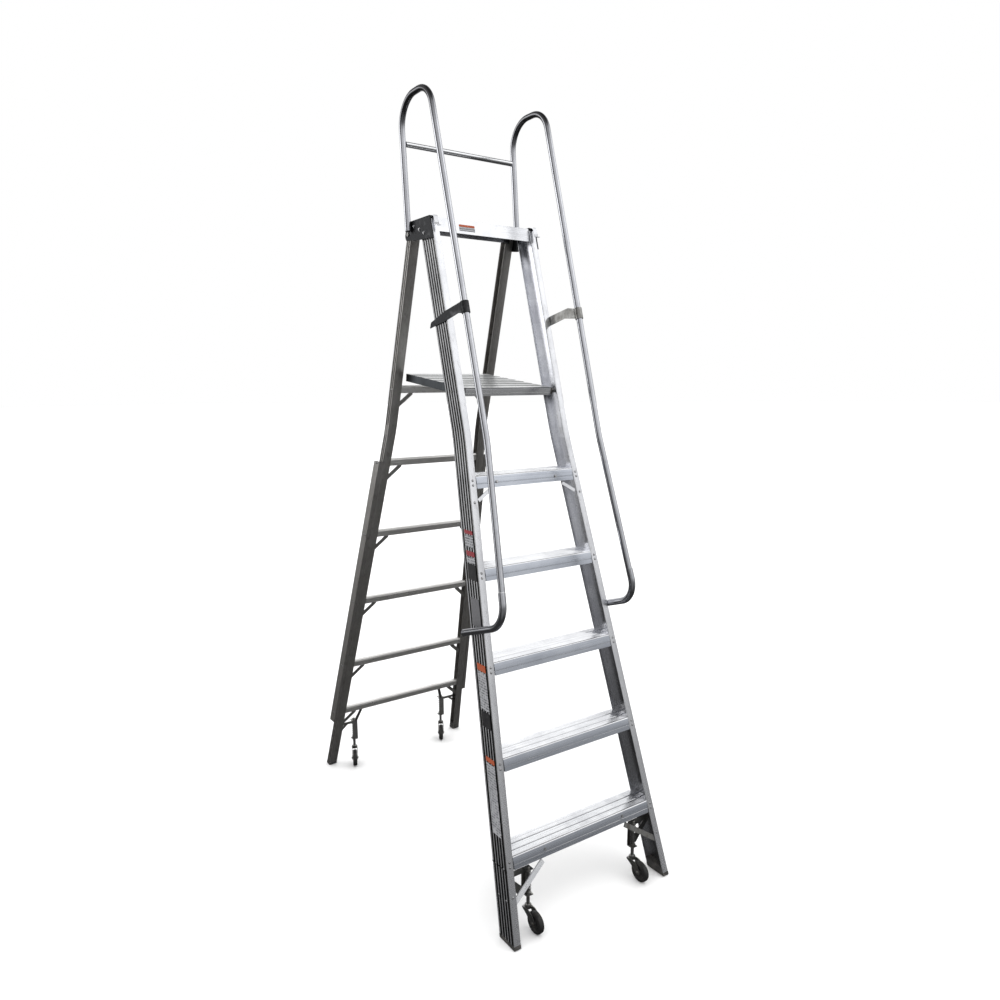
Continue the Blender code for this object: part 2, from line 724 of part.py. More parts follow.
for end, side, turn, inset, behind in CASTERS:
    isFront = end == "front"
    word = end + ("_right" if side > 0 else "_left")
    halves, yAt = (FRONT_HALF, frontY) if isFront else (REAR_HALF, rearY)
    stemX = side * (halfAt(halves, ARM_TOP) - inset)
    stemY = yAt(ARM_TOP) + behind
    place = onCaster(stemX, stemY, turn)

    # bracket: upright plate beside the stem with an arm above and below the spring
    plateY = stemY + 0.0125 if isFront else stemY - 0.0155
    reachX = halfAt(halves, ARM_TOP + 0.004) - SHEET - GAP
    nearX = abs(stemX) - 0.013
    spine = abs(stemX) + 0.012
    knee = reachX - 0.009
    if isFront:
        shape = (
            (nearX, ARM_TOP + SHEET),
            (reachX, ARM_TOP + SHEET),
            (reachX, ARM_TOP - 0.016),
            (abs(stemX) + 0.030, ARM_LOW),
            (nearX, ARM_LOW),
        )
        window = (
            (abs(stemX) + 0.018, ARM_TOP - 0.018),
            (reachX - 0.030, ARM_TOP - 0.018),
            (abs(stemX) + 0.018, ARM_LOW + 0.030),
        )
    else:
        shape = (
            (nearX, ARM_TOP + SHEET),
            (reachX, ARM_TOP + SHEET),
            (reachX, ARM_TOP - 0.056),
            (knee, ARM_TOP - 0.056),
            (spine + 0.026, ARM_TOP - 0.009),
            (spine, ARM_TOP - 0.009),
            (spine, ARM_LOW),
            (nearX, ARM_LOW),
        )
        window = (
            (spine + 0.042, ARM_TOP - 0.009),
            (knee, ARM_TOP - 0.009),
            (knee, ARM_TOP - 0.040),
        )

    def bracketPlace(u, v, t):
        return (side * u, plateY + 0.0030 * t, v)

    bracket = prism("caster_bracket_" + word, shape, bracketPlace, zinc)
    for armZ, label in ((ARM_TOP, "top"), (ARM_LOW, "low")):
        reach = (plateY + 0.001, stemY - 0.0118) if isFront else (plateY + 0.001, stemY + 0.0118)
        low = (min(side * nearX, side * (nearX + 0.026)), min(reach), armZ)
        high = (max(side * nearX, side * (nearX + 0.026)), max(reach), armZ + SHEET)
        arm = box("caster_arm_" + label + "_" + word, low, high, None, True)
        combine(bracket, arm, "UNION")
    if not isFront:
        strapTop = RUNG_Z[0] - RUNG_TALL / 2 - GAP
        hanger = (
            (nearX - 0.024, strapTop),
            (nearX - 0.010, strapTop),
            (nearX + 0.016, ARM_TOP + 0.001),
            (nearX, ARM_TOP + 0.001),
        )

        def hangerPlace(u, v, t):
            return (side * u, plateY - 0.31 * (v - ARM_TOP) + SHEET * t, v)

        combine(bracket, prism("caster_hanger_" + word, hanger, hangerPlace, None, True), "UNION")
    def windowPlace(u, v, t):
        return (side * u, plateY - 0.01 + 0.023 * t, v)

    combine(bracket, prism("caster_window_" + word, window, windowPlace, None, True), "DIFFERENCE")
    bore = cylinder(
        "stem_bore_" + word,
        STEM_RADIUS + BORE_GAP,
        (stemX, stemY, ARM_LOW - 0.02),
        (stemX, stemY, ARM_TOP + 0.02),
        None,
        20,
        True,
    )
    combine(bracket, bore, "DIFFERENCE")

    # stem with its spring collar
    forkTop = WHEEL_RADIUS * 2 - 0.004
    stem = cylinder(
        "caster_stem_" + word,
        STEM_RADIUS,
        (stemX, stemY, forkTop + 0.0046),
        (stemX, stemY, ARM_TOP + 0.010),
        zinc,
        20,
    )
    for low, high, radius, label in (
        (*COLLAR_Z, 0.0112, "collar"),
        (forkTop + 0.0046, forkTop + 0.0090, 0.0120, "race"),
    ):
        disc = cylinder(
            "stem_" + label + "_" + word,
            radius,
            (stemX, stemY, low),
            (stemX, stemY, high),
            None,
            20,
            True,
        )
        combine(stem, disc, "UNION")

    # coil spring between the collar and the upper arm
    springLow = COLLAR_Z[1] + SPRING_WIRE + 0.0005
    springHigh = ARM_TOP - SPRING_WIRE - 0.0005
    count = SPRING_TURNS * 10
    coil = []
    for i in range(count + 1):
        angle = 2 * pi * i / 10
        share = i / count
        coil.append(
            (
                stemX + SPRING_MEAN * cos(angle),
                stemY + SPRING_MEAN * sin(angle),
                springLow + (springHigh - springLow) * share,
            )
        )
    tube("caster_spring_" + word, coil, SPRING_WIRE, springSteel, 1)

    # fork: two cheeks, a bridge behind the wheel, a swivel disc and the axle rivet
    cheekIn = WHEEL_WIDTH / 2 + 0.0015
    cheekOut = cheekIn + 0.0025
    cheek = (
        (0.0150, forkTop - 0.006),
        (0.0150, forkTop),
        (-0.0200, forkTop + 0.0015),
        (-0.0420, forkTop - 0.008),
        (-TRAIL - 0.011, WHEEL_RADIUS + 0.004),
        (-TRAIL - 0.008, WHEEL_RADIUS - 0.009),
        (-TRAIL + 0.006, WHEEL_RADIUS - 0.010),
        (-0.0100, forkTop - 0.020),
    )
    fork = None
    for hand in (-1, 1):

        def cheekPlace(u, v, t):
            return place(hand * (cheekIn + (cheekOut - cheekIn) * t), u, v)

        name = "caster_fork_" + word if fork is None else "fork_cheek_" + word
        made = prism(name, cheek, cheekPlace, zinc if fork is None else None, fork is not None)
        if fork is None:
            fork = made
        else:
            combine(fork, made, "UNION")
    bridge = (
        (0.0145, forkTop - 0.0055),
        (0.0145, forkTop - 0.0002),
        (-0.0105, forkTop - 0.0002),
        (-0.0105, forkTop - 0.0045),
        (0.0110, forkTop - 0.0055),
    )

    def bridgePlace(u, v, t):
        return place((2 * t - 1) * (cheekIn + 0.001), u, v)

    combine(fork, prism("fork_bridge_" + word, bridge, bridgePlace, None, True), "UNION")
    swivel = cylinder(
        "fork_swivel_" + word,
        0.0125,
        (stemX, stemY, forkTop - 0.003),
        (stemX, stemY, forkTop + 0.0041),
        None,
        24,
        True,
    )
    combine(fork, swivel, "UNION")
    axle = cylinder(
        "fork_axle_" + word,
        AXLE_RADIUS,
        place(-cheekOut - 0.002, -TRAIL, WHEEL_RADIUS),
        place(cheekOut + 0.002, -TRAIL, WHEEL_RADIUS),
        None,
        20,
        True,
    )
    combine(fork, axle, "UNION")

    # wheel: turned tyre and hub around the axle bore
    half = WHEEL_WIDTH / 2
    boreRadius = AXLE_RADIUS + 0.0004
    turned = (
        (boreRadius, -half - 0.0008),
        (0.0100, -half - 0.0008),
        (0.0110, -half + 0.0015),
        (0.0240, -half + 0.0015),
        (0.0270, -half),
        (0.0345, -half),
        (WHEEL_RADIUS, -half + 0.0035),
        (WHEEL_RADIUS, half - 0.0035),
        (0.0345, half),
        (0.0270, half),
        (0.0240, half - 0.0015),
        (0.0110, half - 0.0015),
        (0.0100, half + 0.0008),
        (boreRadius, half + 0.0008),
    )
    bm = bmesh.new()
    verts = [bm.verts.new((across, 0, radius)) for radius, across in turned]
    edges = [bm.edges.new((a, b)) for a, b in zip(verts, verts[1:] + verts[:1])]
    bmesh.ops.spin(
        bm,
        geom=verts + edges,
        cent=(0, 0, 0),
        axis=(1, 0, 0),
        angle=2 * pi,
        steps=28,
    )
    bmesh.ops.remove_doubles(bm, verts=bm.verts, dist=1e-5)
    wheel = fromBmesh("caster_wheel_" + word, bm, wheelRubber, True)
    wheel.rotation_euler = (0, 0, turn)
    wheel.location = place(0, -TRAIL, WHEEL_RADIUS)
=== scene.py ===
import json
from math import atan, cos, pi, radians, sin, tan

import bmesh
import bpy
from mathutils import Matrix, Vector


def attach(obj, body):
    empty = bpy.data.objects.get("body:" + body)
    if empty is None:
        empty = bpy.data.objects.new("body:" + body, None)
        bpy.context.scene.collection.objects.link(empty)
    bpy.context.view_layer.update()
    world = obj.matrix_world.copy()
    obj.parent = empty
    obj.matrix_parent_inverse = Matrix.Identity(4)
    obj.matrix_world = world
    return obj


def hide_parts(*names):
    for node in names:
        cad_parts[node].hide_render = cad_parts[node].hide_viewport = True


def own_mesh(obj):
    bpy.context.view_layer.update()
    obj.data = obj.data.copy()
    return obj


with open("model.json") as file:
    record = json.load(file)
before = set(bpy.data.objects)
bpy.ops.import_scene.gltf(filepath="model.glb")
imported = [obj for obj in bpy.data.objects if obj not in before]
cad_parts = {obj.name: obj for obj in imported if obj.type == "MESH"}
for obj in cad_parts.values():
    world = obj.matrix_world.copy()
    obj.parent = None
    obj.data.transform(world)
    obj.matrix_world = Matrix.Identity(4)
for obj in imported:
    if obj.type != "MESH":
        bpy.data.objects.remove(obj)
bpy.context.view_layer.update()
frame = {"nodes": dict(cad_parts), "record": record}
print("frame loaded with", len(frame["nodes"]), "nodes")

# the lines of the ladder, in metres: y = foot + lean * z along each rail,
# and half the width over the rails at the floor, at the bend and at the top
ladder = {
    "frontFoot": -0.7788, "frontLean": 0.2884, "frontDepth": 0.0853, "frontFlange": 0.0270,
    "rearFoot": 0.7448, "rearLean": -0.2963, "rearDepth": 0.0340, "rearFlange": 0.0370,
    "frontHalf": (0.3560, 0.2300, 0.2250), "rearHalf": (0.3660, 0.2365, 0.2247),
    "bend": 1.63, "bendSpread": 0.05, "bendSteps": (-1.0, -0.4, 0.4, 1.0),
    "railFoot": 0.0154, "top": 2.376, "pivot": 2.345, "wall": 0.003, "gap": 0.0004,
}
sides = ((-1, "left"), (1, "right"))
faceOn = 0.9  # a face this square to an axis counts as facing along it
tiny = 1e-5


def halfAt(end, z):
    floor, bend, top = ladder[end + "Half"]
    if z <= ladder["bend"]:
        return floor + (bend - floor) * z / ladder["bend"]
    return bend + (top - bend) * (z - ladder["bend"]) / (ladder["top"] - ladder["bend"])


def planeAt(end, z):
    return ladder[end + "Foot"] + ladder[end + "Lean"] * z


# parts that the materials are built from


def newMaterial(name):
    made = bpy.data.materials.new(name)
    made.use_nodes = True
    nodes, links = made.node_tree.nodes, made.node_tree.links
    return made, nodes, links, nodes["Principled BSDF"]


def stretched(nodes, links, scale=(1, 1, 1), turn=(0, 0, 0)):
    coords = nodes.new("ShaderNodeTexCoord")
    mapping = nodes.new("ShaderNodeMapping")
    mapping.inputs["Rotation"].default_value = turn
    mapping.inputs["Scale"].default_value = scale
    links.new(coords.outputs["Object"], mapping.inputs["Vector"])
    return mapping.outputs["Vector"]


def noise(nodes, links, vector, scale, detail, rough):
    made = nodes.new("ShaderNodeTexNoise")
    made.inputs["Scale"].default_value = scale
    made.inputs["Detail"].default_value = detail
    made.inputs["Roughness"].default_value = rough
    links.new(vector, made.inputs["Vector"])
    return made.outputs["Fac"]


def ramp(nodes, links, source, low, high):
    made = nodes.new("ShaderNodeValToRGB")
    dark, light = made.color_ramp.elements
    dark.position, dark.color = low, (0, 0, 0, 1)
    light.position, light.color = high, (1, 1, 1, 1)
    links.new(source, made.inputs["Fac"])
    return made.outputs["Color"]


def spread(nodes, links, source, low, high, fromLow=0.3, fromHigh=0.7):
    made = nodes.new("ShaderNodeMapRange")
    made.inputs["From Min"].default_value = fromLow
    made.inputs["From Max"].default_value = fromHigh
    made.inputs["To Min"].default_value = low
    made.inputs["To Max"].default_value = high
    links.new(source, made.inputs["Value"])
    return made.outputs["Result"]


def mixed(nodes, links, factor, first, second):
    made = nodes.new("ShaderNodeMix")
    made.data_type = "RGBA"
    links.new(factor, made.inputs["Factor"])
    for socket, value in (("A", first), ("B", second)):
        target = [s for s in made.inputs if s.name == socket and s.type == "RGBA"][0]
        if isinstance(value, tuple):
            target.default_value = (*value, 1.0)
        else:
            links.new(value, target)
    return [s for s in made.outputs if s.type == "RGBA"][0]


def combined(nodes, links, operation, first, second):
    made = nodes.new("ShaderNodeMath")
    made.operation = operation
    for i, value in enumerate((first, second)):
        if isinstance(value, float):
            made.inputs[i].default_value = value
        else:
            links.new(value, made.inputs[i])
    return made.outputs["Value"]


def bumped(nodes, links, shader, height, strength, distance):
    made = nodes.new("ShaderNodeBump")
    made.inputs["Strength"].default_value = strength
    made.inputs["Distance"].default_value = distance
    links.new(height, made.inputs["Height"])
    links.new(made.outputs["Normal"], shader.inputs["Normal"])


# drawn aluminium: die lines along the section, cloudy oxide, and dull handling marks
def drawnMetal(name, look):
    made, nodes, links, shader = newMaterial(name)
    turn = look.get("turn", (0, 0, 0))
    grain = noise(nodes, links, stretched(nodes, links, look["grain"], turn), 1.0, 5.0, 0.6)
    cloud = noise(nodes, links, stretched(nodes, links), look.get("cloud", 9.0), 4.0, 0.6)
    streak = noise(nodes, links, stretched(nodes, links, look["streak"], turn), 1.0, 3.0, 0.5)
    tone = mixed(nodes, links, ramp(nodes, links, cloud, 0.38, 0.66), look["tone"], look["dull"])
    tone = mixed(nodes, links, ramp(nodes, links, streak, 0.56, 0.80), tone, look["mark"])
    if "paintedShadeHeights" in look:  # painted shade: the colour darkens to a shade tone from the first height to the second
        split = nodes.new("ShaderNodeSeparateXYZ")
        links.new(stretched(nodes, links), split.inputs["Vector"])
        paintedShade = spread(nodes, links, split.outputs["Z"], 0.0, 1.0, *look["paintedShadeHeights"])
        tone = mixed(nodes, links, paintedShade, tone, look["paintedShade"])
    links.new(tone, shader.inputs["Base Color"])
    cloudy = spread(nodes, links, cloud, *look["rough"])
    fine = spread(nodes, links, grain, -0.05, 0.06)
    links.new(combined(nodes, links, "ADD", cloudy, fine), shader.inputs["Roughness"])
    bumped(nodes, links, shader, grain, look["bump"], 0.0003)
    shader.inputs["Metallic"].default_value = look.get("metal", 1.0)
    return made


def mouldedRubber(name, look):
    made, nodes, links, shader = newMaterial(name)
    vector = stretched(nodes, links)
    dust = noise(nodes, links, vector, 28.0, 5.0, 0.65)
    pores = noise(nodes, links, vector, 900.0, 2.0, 0.5)
    tone = mixed(nodes, links, ramp(nodes, links, dust, 0.48, 0.78), look["tone"], look["dust"])
    links.new(tone, shader.inputs["Base Color"])
    links.new(spread(nodes, links, dust, *look["rough"]), shader.inputs["Roughness"])
    bumped(nodes, links, shader, pores, 0.25, 0.0004)
    return made


# stickers are plain colour with scuffs, and rows of blank bars stand where print would be
def stickerVinyl(name, look):
    made, nodes, links, shader = newMaterial(name)
    vector = stretched(nodes, links)
    scuff = noise(nodes, links, vector, 160.0, 5.0, 0.7)
    tone = mixed(nodes, links, ramp(nodes, links, scuff, 0.50, 0.74), look["tone"], look["worn"])
    if "rows" in look:
        wave = nodes.new("ShaderNodeTexWave")
        wave.bands_direction = "Z"
        wave.inputs["Scale"].default_value = 0.314 / look["rows"]  # one band for each row
        links.new(vector, wave.inputs["Vector"])
        breaks = noise(nodes, links, stretched(nodes, links, (1, 150, 70)), 1.0, 1.0, 0.5)
        rows = ramp(nodes, links, wave.outputs["Fac"], 0.50, 0.60)
        bars = combined(nodes, links, "MULTIPLY", rows, ramp(nodes, links, breaks, 0.44, 0.50))
        tone = mixed(nodes, links, bars, tone, look["ink"])
    links.new(tone, shader.inputs["Base Color"])
    links.new(spread(nodes, links, scuff, 0.38, 0.58), shader.inputs["Roughness"])
    bumped(nodes, links, shader, scuff, 0.12, 0.0002)
    return made


# the finishes: tone is the clean metal, dull its oxide, mark the scratches
frontTilt = (-atan(ladder["frontLean"]), 0, 0)
rearTilt = (-atan(ladder["rearLean"]), 0, 0)
aluminiumLook = {
    "tone": (0.82, 0.83, 0.86), "dull": (0.74, 0.75, 0.78), "mark": (0.58, 0.58, 0.60),
    "grain": (900, 900, 9), "streak": (160, 160, 2.2), "rough": (0.22, 0.32), "bump": 0.10,
}
upRail = {**aluminiumLook, "turn": frontTilt}
acrossLook = {**aluminiumLook, "grain": (9, 900, 900), "streak": (2.2, 160, 160)}
frontMetal = drawnMetal("drawn aluminium front", upRail)
# painted light: the inner webs take a brighter copy of the rail aluminium, and painted shade darkens it from
# 1.35 m down to 0.60 m
litWebMetal = drawnMetal("lit inner web", {
    **upRail, "tone": (0.93, 0.94, 0.98), "dull": (0.86, 0.87, 0.93), "mark": (0.70, 0.71, 0.76),
    "rough": (0.20, 0.30), "paintedShadeHeights": (1.35, 0.60), "paintedShade": (0.36, 0.36, 0.37),
})
# painted shade: the outer web lands take a darker copy of the rail aluminium
shadedLandMetal = drawnMetal("shaded outer web", {
    **upRail, "tone": (0.50, 0.50, 0.50), "dull": (0.36, 0.36, 0.36), "mark": (0.24, 0.24, 0.24),
    "rough": (0.30, 0.42),
})
# painted shade: a near-black finish laid in the rail grooves and on the floors of the tread band gaps; the
# rail seams take it too, as their dark joint line
grooveShadeAndSeamMetal = drawnMetal("groove shade and seam line", {
    **upRail, "tone": (0.030, 0.029, 0.028), "dull": (0.020, 0.019, 0.018),
    "mark": (0.060, 0.056, 0.052), "rough": (0.34, 0.48),
})
# painted shade: the rear frame and its straps take a darker copy of the aluminium than the front
shadedRearMetal = drawnMetal("shaded aluminium rear", {
    **aluminiumLook, "tone": (0.46, 0.45, 0.435), "dull": (0.37, 0.36, 0.345),
    "mark": (0.27, 0.26, 0.235), "turn": rearTilt, "rough": (0.30, 0.44), "metal": 0.94,
})
rungMetal = drawnMetal("drawn aluminium rung", {
    **acrossLook, "tone": (0.86, 0.85, 0.83), "dull": (0.76, 0.75, 0.73), "mark": (0.56, 0.55, 0.53),
    "rough": (0.26, 0.38), "metal": 0.92,
})
treadMetal = drawnMetal("drawn aluminium tread", {
    **acrossLook, "tone": (0.86, 0.87, 0.89), "rough": (0.18, 0.28),
})
# painted shade: the front faces of the treads take a darker, bluer copy of the tread aluminium
treadFaceShadeMetal = drawnMetal("shaded tread face", {
    **acrossLook, "tone": (0.55, 0.58, 0.64), "dull": (0.47, 0.50, 0.56), "mark": (0.36, 0.38, 0.43),
})
# the deck takes a darker, less metallic tone than the treads
deckMetal = drawnMetal("darker deck", {
    **acrossLook, "tone": (0.66, 0.67, 0.67), "dull": (0.54, 0.55, 0.55), "mark": (0.38, 0.39, 0.39),
    "rough": (0.26, 0.38), "metal": 0.55,
})
skirtMetal = drawnMetal("dark deck skirt", {
    **aluminiumLook, "tone": (0.10, 0.11, 0.12), "dull": (0.075, 0.08, 0.085),
    "mark": (0.16, 0.17, 0.18), "rough": (0.34, 0.48),
})
# painted shade: the handrail tubes darken from 2.66 m to 2.77 m over the loop tops
tubeMetal = drawnMetal("polished tube", {
    **upRail, "tone": (0.66, 0.67, 0.71), "dull": (0.58, 0.59, 0.63), "mark": (0.48, 0.48, 0.51),
    "rough": (0.12, 0.20), "bump": 0.05, "paintedShadeHeights": (2.66, 2.77), "paintedShade": (0.20, 0.20, 0.21),
})
# painted highlight: the cross tube takes a brighter tone than the handrail tubes
litBarMetal = drawnMetal("polished cross tube", {
    **acrossLook, "tone": (0.92, 0.93, 0.95), "dull": (0.84, 0.85, 0.87), "rough": (0.16, 0.24),
})
# painted highlight: a bright copy given only to the left brace of the first step, while its right twin takes
# zinc
litBraceMetal = drawnMetal("lit brace", {
    **aluminiumLook, "tone": (0.90, 0.91, 0.93), "rough": (0.20, 0.30), "metal": 0.60,
})
headMetal = drawnMetal("dark cast head", {
    "tone": (0.050, 0.052, 0.055), "dull": (0.085, 0.085, 0.090), "mark": (0.20, 0.20, 0.21),
    "grain": (240, 240, 240), "streak": (30, 30, 30), "rough": (0.42, 0.60), "bump": 0.35, "cloud": 40.0,
})
zincMetal = drawnMetal("zinc plate", {
    "tone": (0.42, 0.42, 0.41), "dull": (0.30, 0.295, 0.28), "mark": (0.20, 0.18, 0.155),
    "grain": (160, 160, 160), "streak": (40, 40, 14), "rough": (0.28, 0.46), "bump": 0.15, "cloud": 60.0,
})
springMetal = drawnMetal("spring wire", {
    "tone": (0.26, 0.26, 0.26), "dull": (0.18, 0.18, 0.18), "mark": (0.11, 0.10, 0.09),
    "grain": (300, 300, 300), "streak": (60, 60, 30), "rough": (0.22, 0.36), "bump": 0.1, "cloud": 80.0,
})
rivetMetal = drawnMetal("rivet head", {
    "tone": (0.60, 0.60, 0.61), "dull": (0.44, 0.44, 0.45), "mark": (0.30, 0.30, 0.30),
    "grain": (500, 500, 500), "streak": (90, 90, 90), "rough": (0.26, 0.40), "bump": 0.12, "cloud": 90.0,
})
soleRubber = mouldedRubber("sole rubber", {
    "tone": (0.035, 0.034, 0.033), "dust": (0.12, 0.11, 0.10), "rough": (0.62, 0.85),
})
tyreRubber = mouldedRubber("tyre rubber", {
    "tone": (0.012, 0.012, 0.012), "dust": (0.055, 0.05, 0.045), "rough": (0.42, 0.66),
})
stickers = {
    "red": stickerVinyl("red sticker", {"tone": (0.24, 0.018, 0.026), "worn": (0.30, 0.13, 0.13)}),
    "orange": stickerVinyl("orange sticker", {"tone": (0.36, 0.060, 0.014), "worn": (0.32, 0.14, 0.07)}),
    "white": stickerVinyl("white sticker", {
        "tone": (0.34, 0.345, 0.36), "worn": (0.19, 0.19, 0.20), "rows": 0.0090, "ink": (0.09, 0.09, 0.10),
    }),
    "black": stickerVinyl("black sticker", {"tone": (0.012, 0.012, 0.014), "worn": (0.06, 0.06, 0.06)}),
    "grey": stickerVinyl("grey sticker", {"tone": (0.13, 0.13, 0.138), "worn": (0.09, 0.09, 0.09)}),
}
print("materials ready")


# makes the finished object; also lists other finishes, each with a test of the faces it takes
def addPiece(name, bm, body, finish, replaced=(), sharp=0.6, also=()):
    bmesh.ops.remove_doubles(bm, verts=bm.verts, dist=1e-6)
    bmesh.ops.recalc_face_normals(bm, faces=bm.faces)
    mesh = bpy.data.meshes.new(name)
    bm.to_mesh(mesh)
    bm.free()
    mesh.materials.append(finish)
    for other, _ in also:
        mesh.materials.append(other)
    for face in mesh.polygons:
        face.use_smooth = True
        for i, (_, chosen) in enumerate(also):
            if chosen(face.center, face.normal):
                face.material_index = i + 1
    mesh.set_sharp_from_angle(angle=sharp)
    obj = bpy.data.objects.new(name, mesh)
    bpy.context.scene.collection.objects.link(obj)
    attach(obj, body)
    if replaced:
        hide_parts(*replaced)
    return obj


# an outline swept through a list of moves, after rounding some of its corners
def swept(points, moves, rounding=()):
    bm = bmesh.new()
    ring = [bm.verts.new(point) for point in points]
    bm.faces.new(ring)
    for indices, radius, steps in rounding:
        picked = [ring[i] for i in indices]
        bmesh.ops.bevel(
            bm, geom=picked, offset=radius, segments=steps, profile=0.5, affect="VERTICES", material=-1,
        )
    cap = list(bm.faces)
    for move in moves:
        cap, verts = pulled(bm, cap)
        bmesh.ops.translate(bm, vec=move, verts=verts)
    return bm


# faces pulled out of a mesh, given back with their corners and not yet moved
def pulled(bm, faces):
    made = bmesh.ops.extrude_face_region(bm, geom=faces)["geom"]
    verts = [item for item in made if isinstance(item, bmesh.types.BMVert)]
    return [item for item in made if isinstance(item, bmesh.types.BMFace)], verts


# a profile turned once round an axis through the origin
def turned(points, axis, steps, closed):
    bm = bmesh.new()
    verts = [bm.verts.new(point) for point in points]
    following = verts[1:] + (verts[:1] if closed else [])
    edges = [bm.edges.new(pair) for pair in zip(verts, following)]
    bmesh.ops.spin(
        bm, geom=verts + edges, cent=(0, 0, 0), axis=axis, angle=2 * pi, steps=steps, use_merge=True,
    )
    return bm


def merge(bm, part):
    helper = bpy.data.meshes.new("helper")
    part.to_mesh(helper)
    bm.from_mesh(helper)
    part.free()
    bpy.data.meshes.remove(helper)


# the four corners of a rectangle, in order round it
def rectangle(across, tall):
    return [(across[0], tall[0]), (across[1], tall[0]), (across[1], tall[1]), (across[0], tall[1])]


# leans a piece with its rail about the height where it was drawn
def leanWith(bm, lean, z):
    shear = Matrix.Identity(4)
    shear[1][2] = lean
    shear[1][3] = -lean * z
    bmesh.ops.transform(bm, matrix=shear, verts=bm.verts)


def facing(place, direction):
    return Matrix.Translation(place) @ Vector(direction).to_track_quat("Z", "Y").to_matrix().to_4x4()


# domed rivet head standing on a surface
def addRivet(bm, place, direction, size):
    radius, height = size
    verts = bmesh.ops.create_uvsphere(bm, u_segments=14, v_segments=8, radius=radius)["verts"]
    bmesh.ops.scale(bm, vec=(1, 1, height / radius), verts=verts)
    bmesh.ops.transform(bm, matrix=facing(place, direction), verts=verts)


# hexagon bolt head on a washer; every measure is a share of the size across or of the height
def addBolt(bm, place, direction, size):
    across, height = size
    outward = Vector(direction).normalized() * height
    for segments, foot, crown, tall, lift in ((20, 0.72, 0.72, 0.3, 0.15), (6, 0.577, 0.52, 1.0, 0.65)):
        verts = bmesh.ops.create_cone(
            bm, cap_ends=True, segments=segments, radius1=across * foot, radius2=across * crown,
            depth=height * tall, matrix=facing(place, direction),
        )["verts"]
        bmesh.ops.translate(bm, vec=outward * lift, verts=verts)


# a line through the corners, with an arc of the given radius at each one between the ends
def smoothPath(corners, radii, steps=14):
    corners = [Vector(corner) for corner in corners]
    path = [corners[0]]
    for before, here, after, radius in zip(corners, corners[1:], corners[2:], radii):
        back, ahead = (before - here).normalized(), (after - here).normalized()
        angle = back.angle(ahead)
        reach = radius / tan(angle / 2)
        centre = here + (back + ahead).normalized() * (radius / sin(angle / 2))
        first, last = here + back * reach - centre, here + ahead * reach - centre
        total = first.angle(last)
        for i in range(steps + 1):
            share = i / steps
            reached = first * sin((1 - share) * total) + last * sin(share * total)
            path.append(centre + reached / sin(total))
    path.append(corners[-1])
    return path


def addTube(name, path, radius, body, finish, replaced, smooth):
    curve = bpy.data.curves.new(name, "CURVE")
    curve.dimensions = "3D"
    curve.bevel_depth = radius
    curve.bevel_resolution = smooth
    curve.use_fill_caps = True
    spline = curve.splines.new("POLY")
    spline.points.add(len(path) - 1)
    for point, at in zip(spline.points, path):
        point.co = (*at, 1.0)
    source = bpy.data.objects.new(name + " path", curve)
    bpy.context.scene.collection.objects.link(source)
    mesh = bpy.data.meshes.new_from_object(source.evaluated_get(bpy.context.evaluated_depsgraph_get()))
    bpy.data.objects.remove(source)
    mesh.materials.clear()
    bm = bmesh.new()
    bm.from_mesh(mesh)
    bpy.data.meshes.remove(mesh)
    return addPiece(name, bm, body, finish, replaced)


# front and rear rails: channels with a ribbed outer web
frontRail = {
    "grooves": 5, "grooveDeep": 0.0016, "slope": 0.0014, "land": 0.0022, "edge": 0.0030,
    "corner": 0.0022, "innerCorner": 0.0010, "webReach": 0.0100,
}
rearRail = {
    **frontRail, "grooves": 2, "grooveDeep": 0.0009, "slope": 0.0010, "land": 0.0070, "corner": 0.0016,
}


def railOutline(end, side, z, look):
    depth, flange, wall = ladder[end + "Depth"], ladder[end + "Flange"], ladder["wall"]
    half, front = halfAt(end, z), planeAt(end, z)
    back = front + depth
    outer, sunk = half, half - look["grooveDeep"]
    inner, web = half - flange, half - wall
    pitch = (depth - 2 * look["edge"]) / look["grooves"]
    points = [(outer, front)]
    for i in range(look["grooves"]):
        start = front + look["edge"] + pitch * i + look["land"] / 2
        stop = start + pitch - look["land"]
        points += [(outer, start), (sunk, start + look["slope"])]
        points += [(sunk, stop - look["slope"]), (outer, stop)]
    points += [(outer, back), (inner, back), (inner, back - wall), (web, back - wall)]
    points += [(web, front + wall), (inner, front + wall), (inner, front)]
    return [(side * x, y, z) for x, y in points]


def buildRail(end, side, word, look, body, finish):
    levels = [ladder["bend"] + ladder["bendSpread"] * step for step in ladder["bendSteps"]]
    levels = [ladder["railFoot"]] + levels + [ladder["top"]]
    stations = [Vector((side * halfAt(end, z), planeAt(end, z), z)) for z in levels]
    moves = [after - before for before, after in zip(stations, stations[1:])]
    outline = railOutline(end, side, ladder["railFoot"], look)
    last = len(outline) - 1
    outerBack = last - 6
    lips = (last, last - 5, last - 1, last - 4)
    bm = swept(outline, moves, (((0, outerBack), look["corner"], 3), (lips, look["innerCorner"], 2)))

    def sunkBy(centre):
        return halfAt(end, centre.z) - abs(centre.x)

    def inGroove(centre, normal):
        return normal.x * side > faceOn and look["grooveDeep"] / 2 < sunkBy(centre) < look["grooveDeep"] * 1.5

    def onLand(centre, normal):
        return normal.x * side > faceOn and sunkBy(centre) < look["grooveDeep"] / 2

    def onInnerWeb(centre, normal):
        return normal.x * side < -faceOn and sunkBy(centre) < look["webReach"]

    # painted shade in the grooves, and on the front rails painted light on the inner webs and painted shade
    # on the outer web lands
    also = [(grooveShadeAndSeamMetal, inGroove)]
    if end == "front":
        also += [(litWebMetal, onInnerWeb), (shadedLandMetal, onLand)]
    replaced = (end + "_rail_" + word,)
    addPiece(end + "_rail_profile_" + word, bm, body, finish, replaced, also=also)


for side, word in sides:
    buildRail("front", side, word, frontRail, "base", frontMetal)
    buildRail("rear", side, word, rearRail, "rear_frame", shadedRearMetal)
print("rails done")


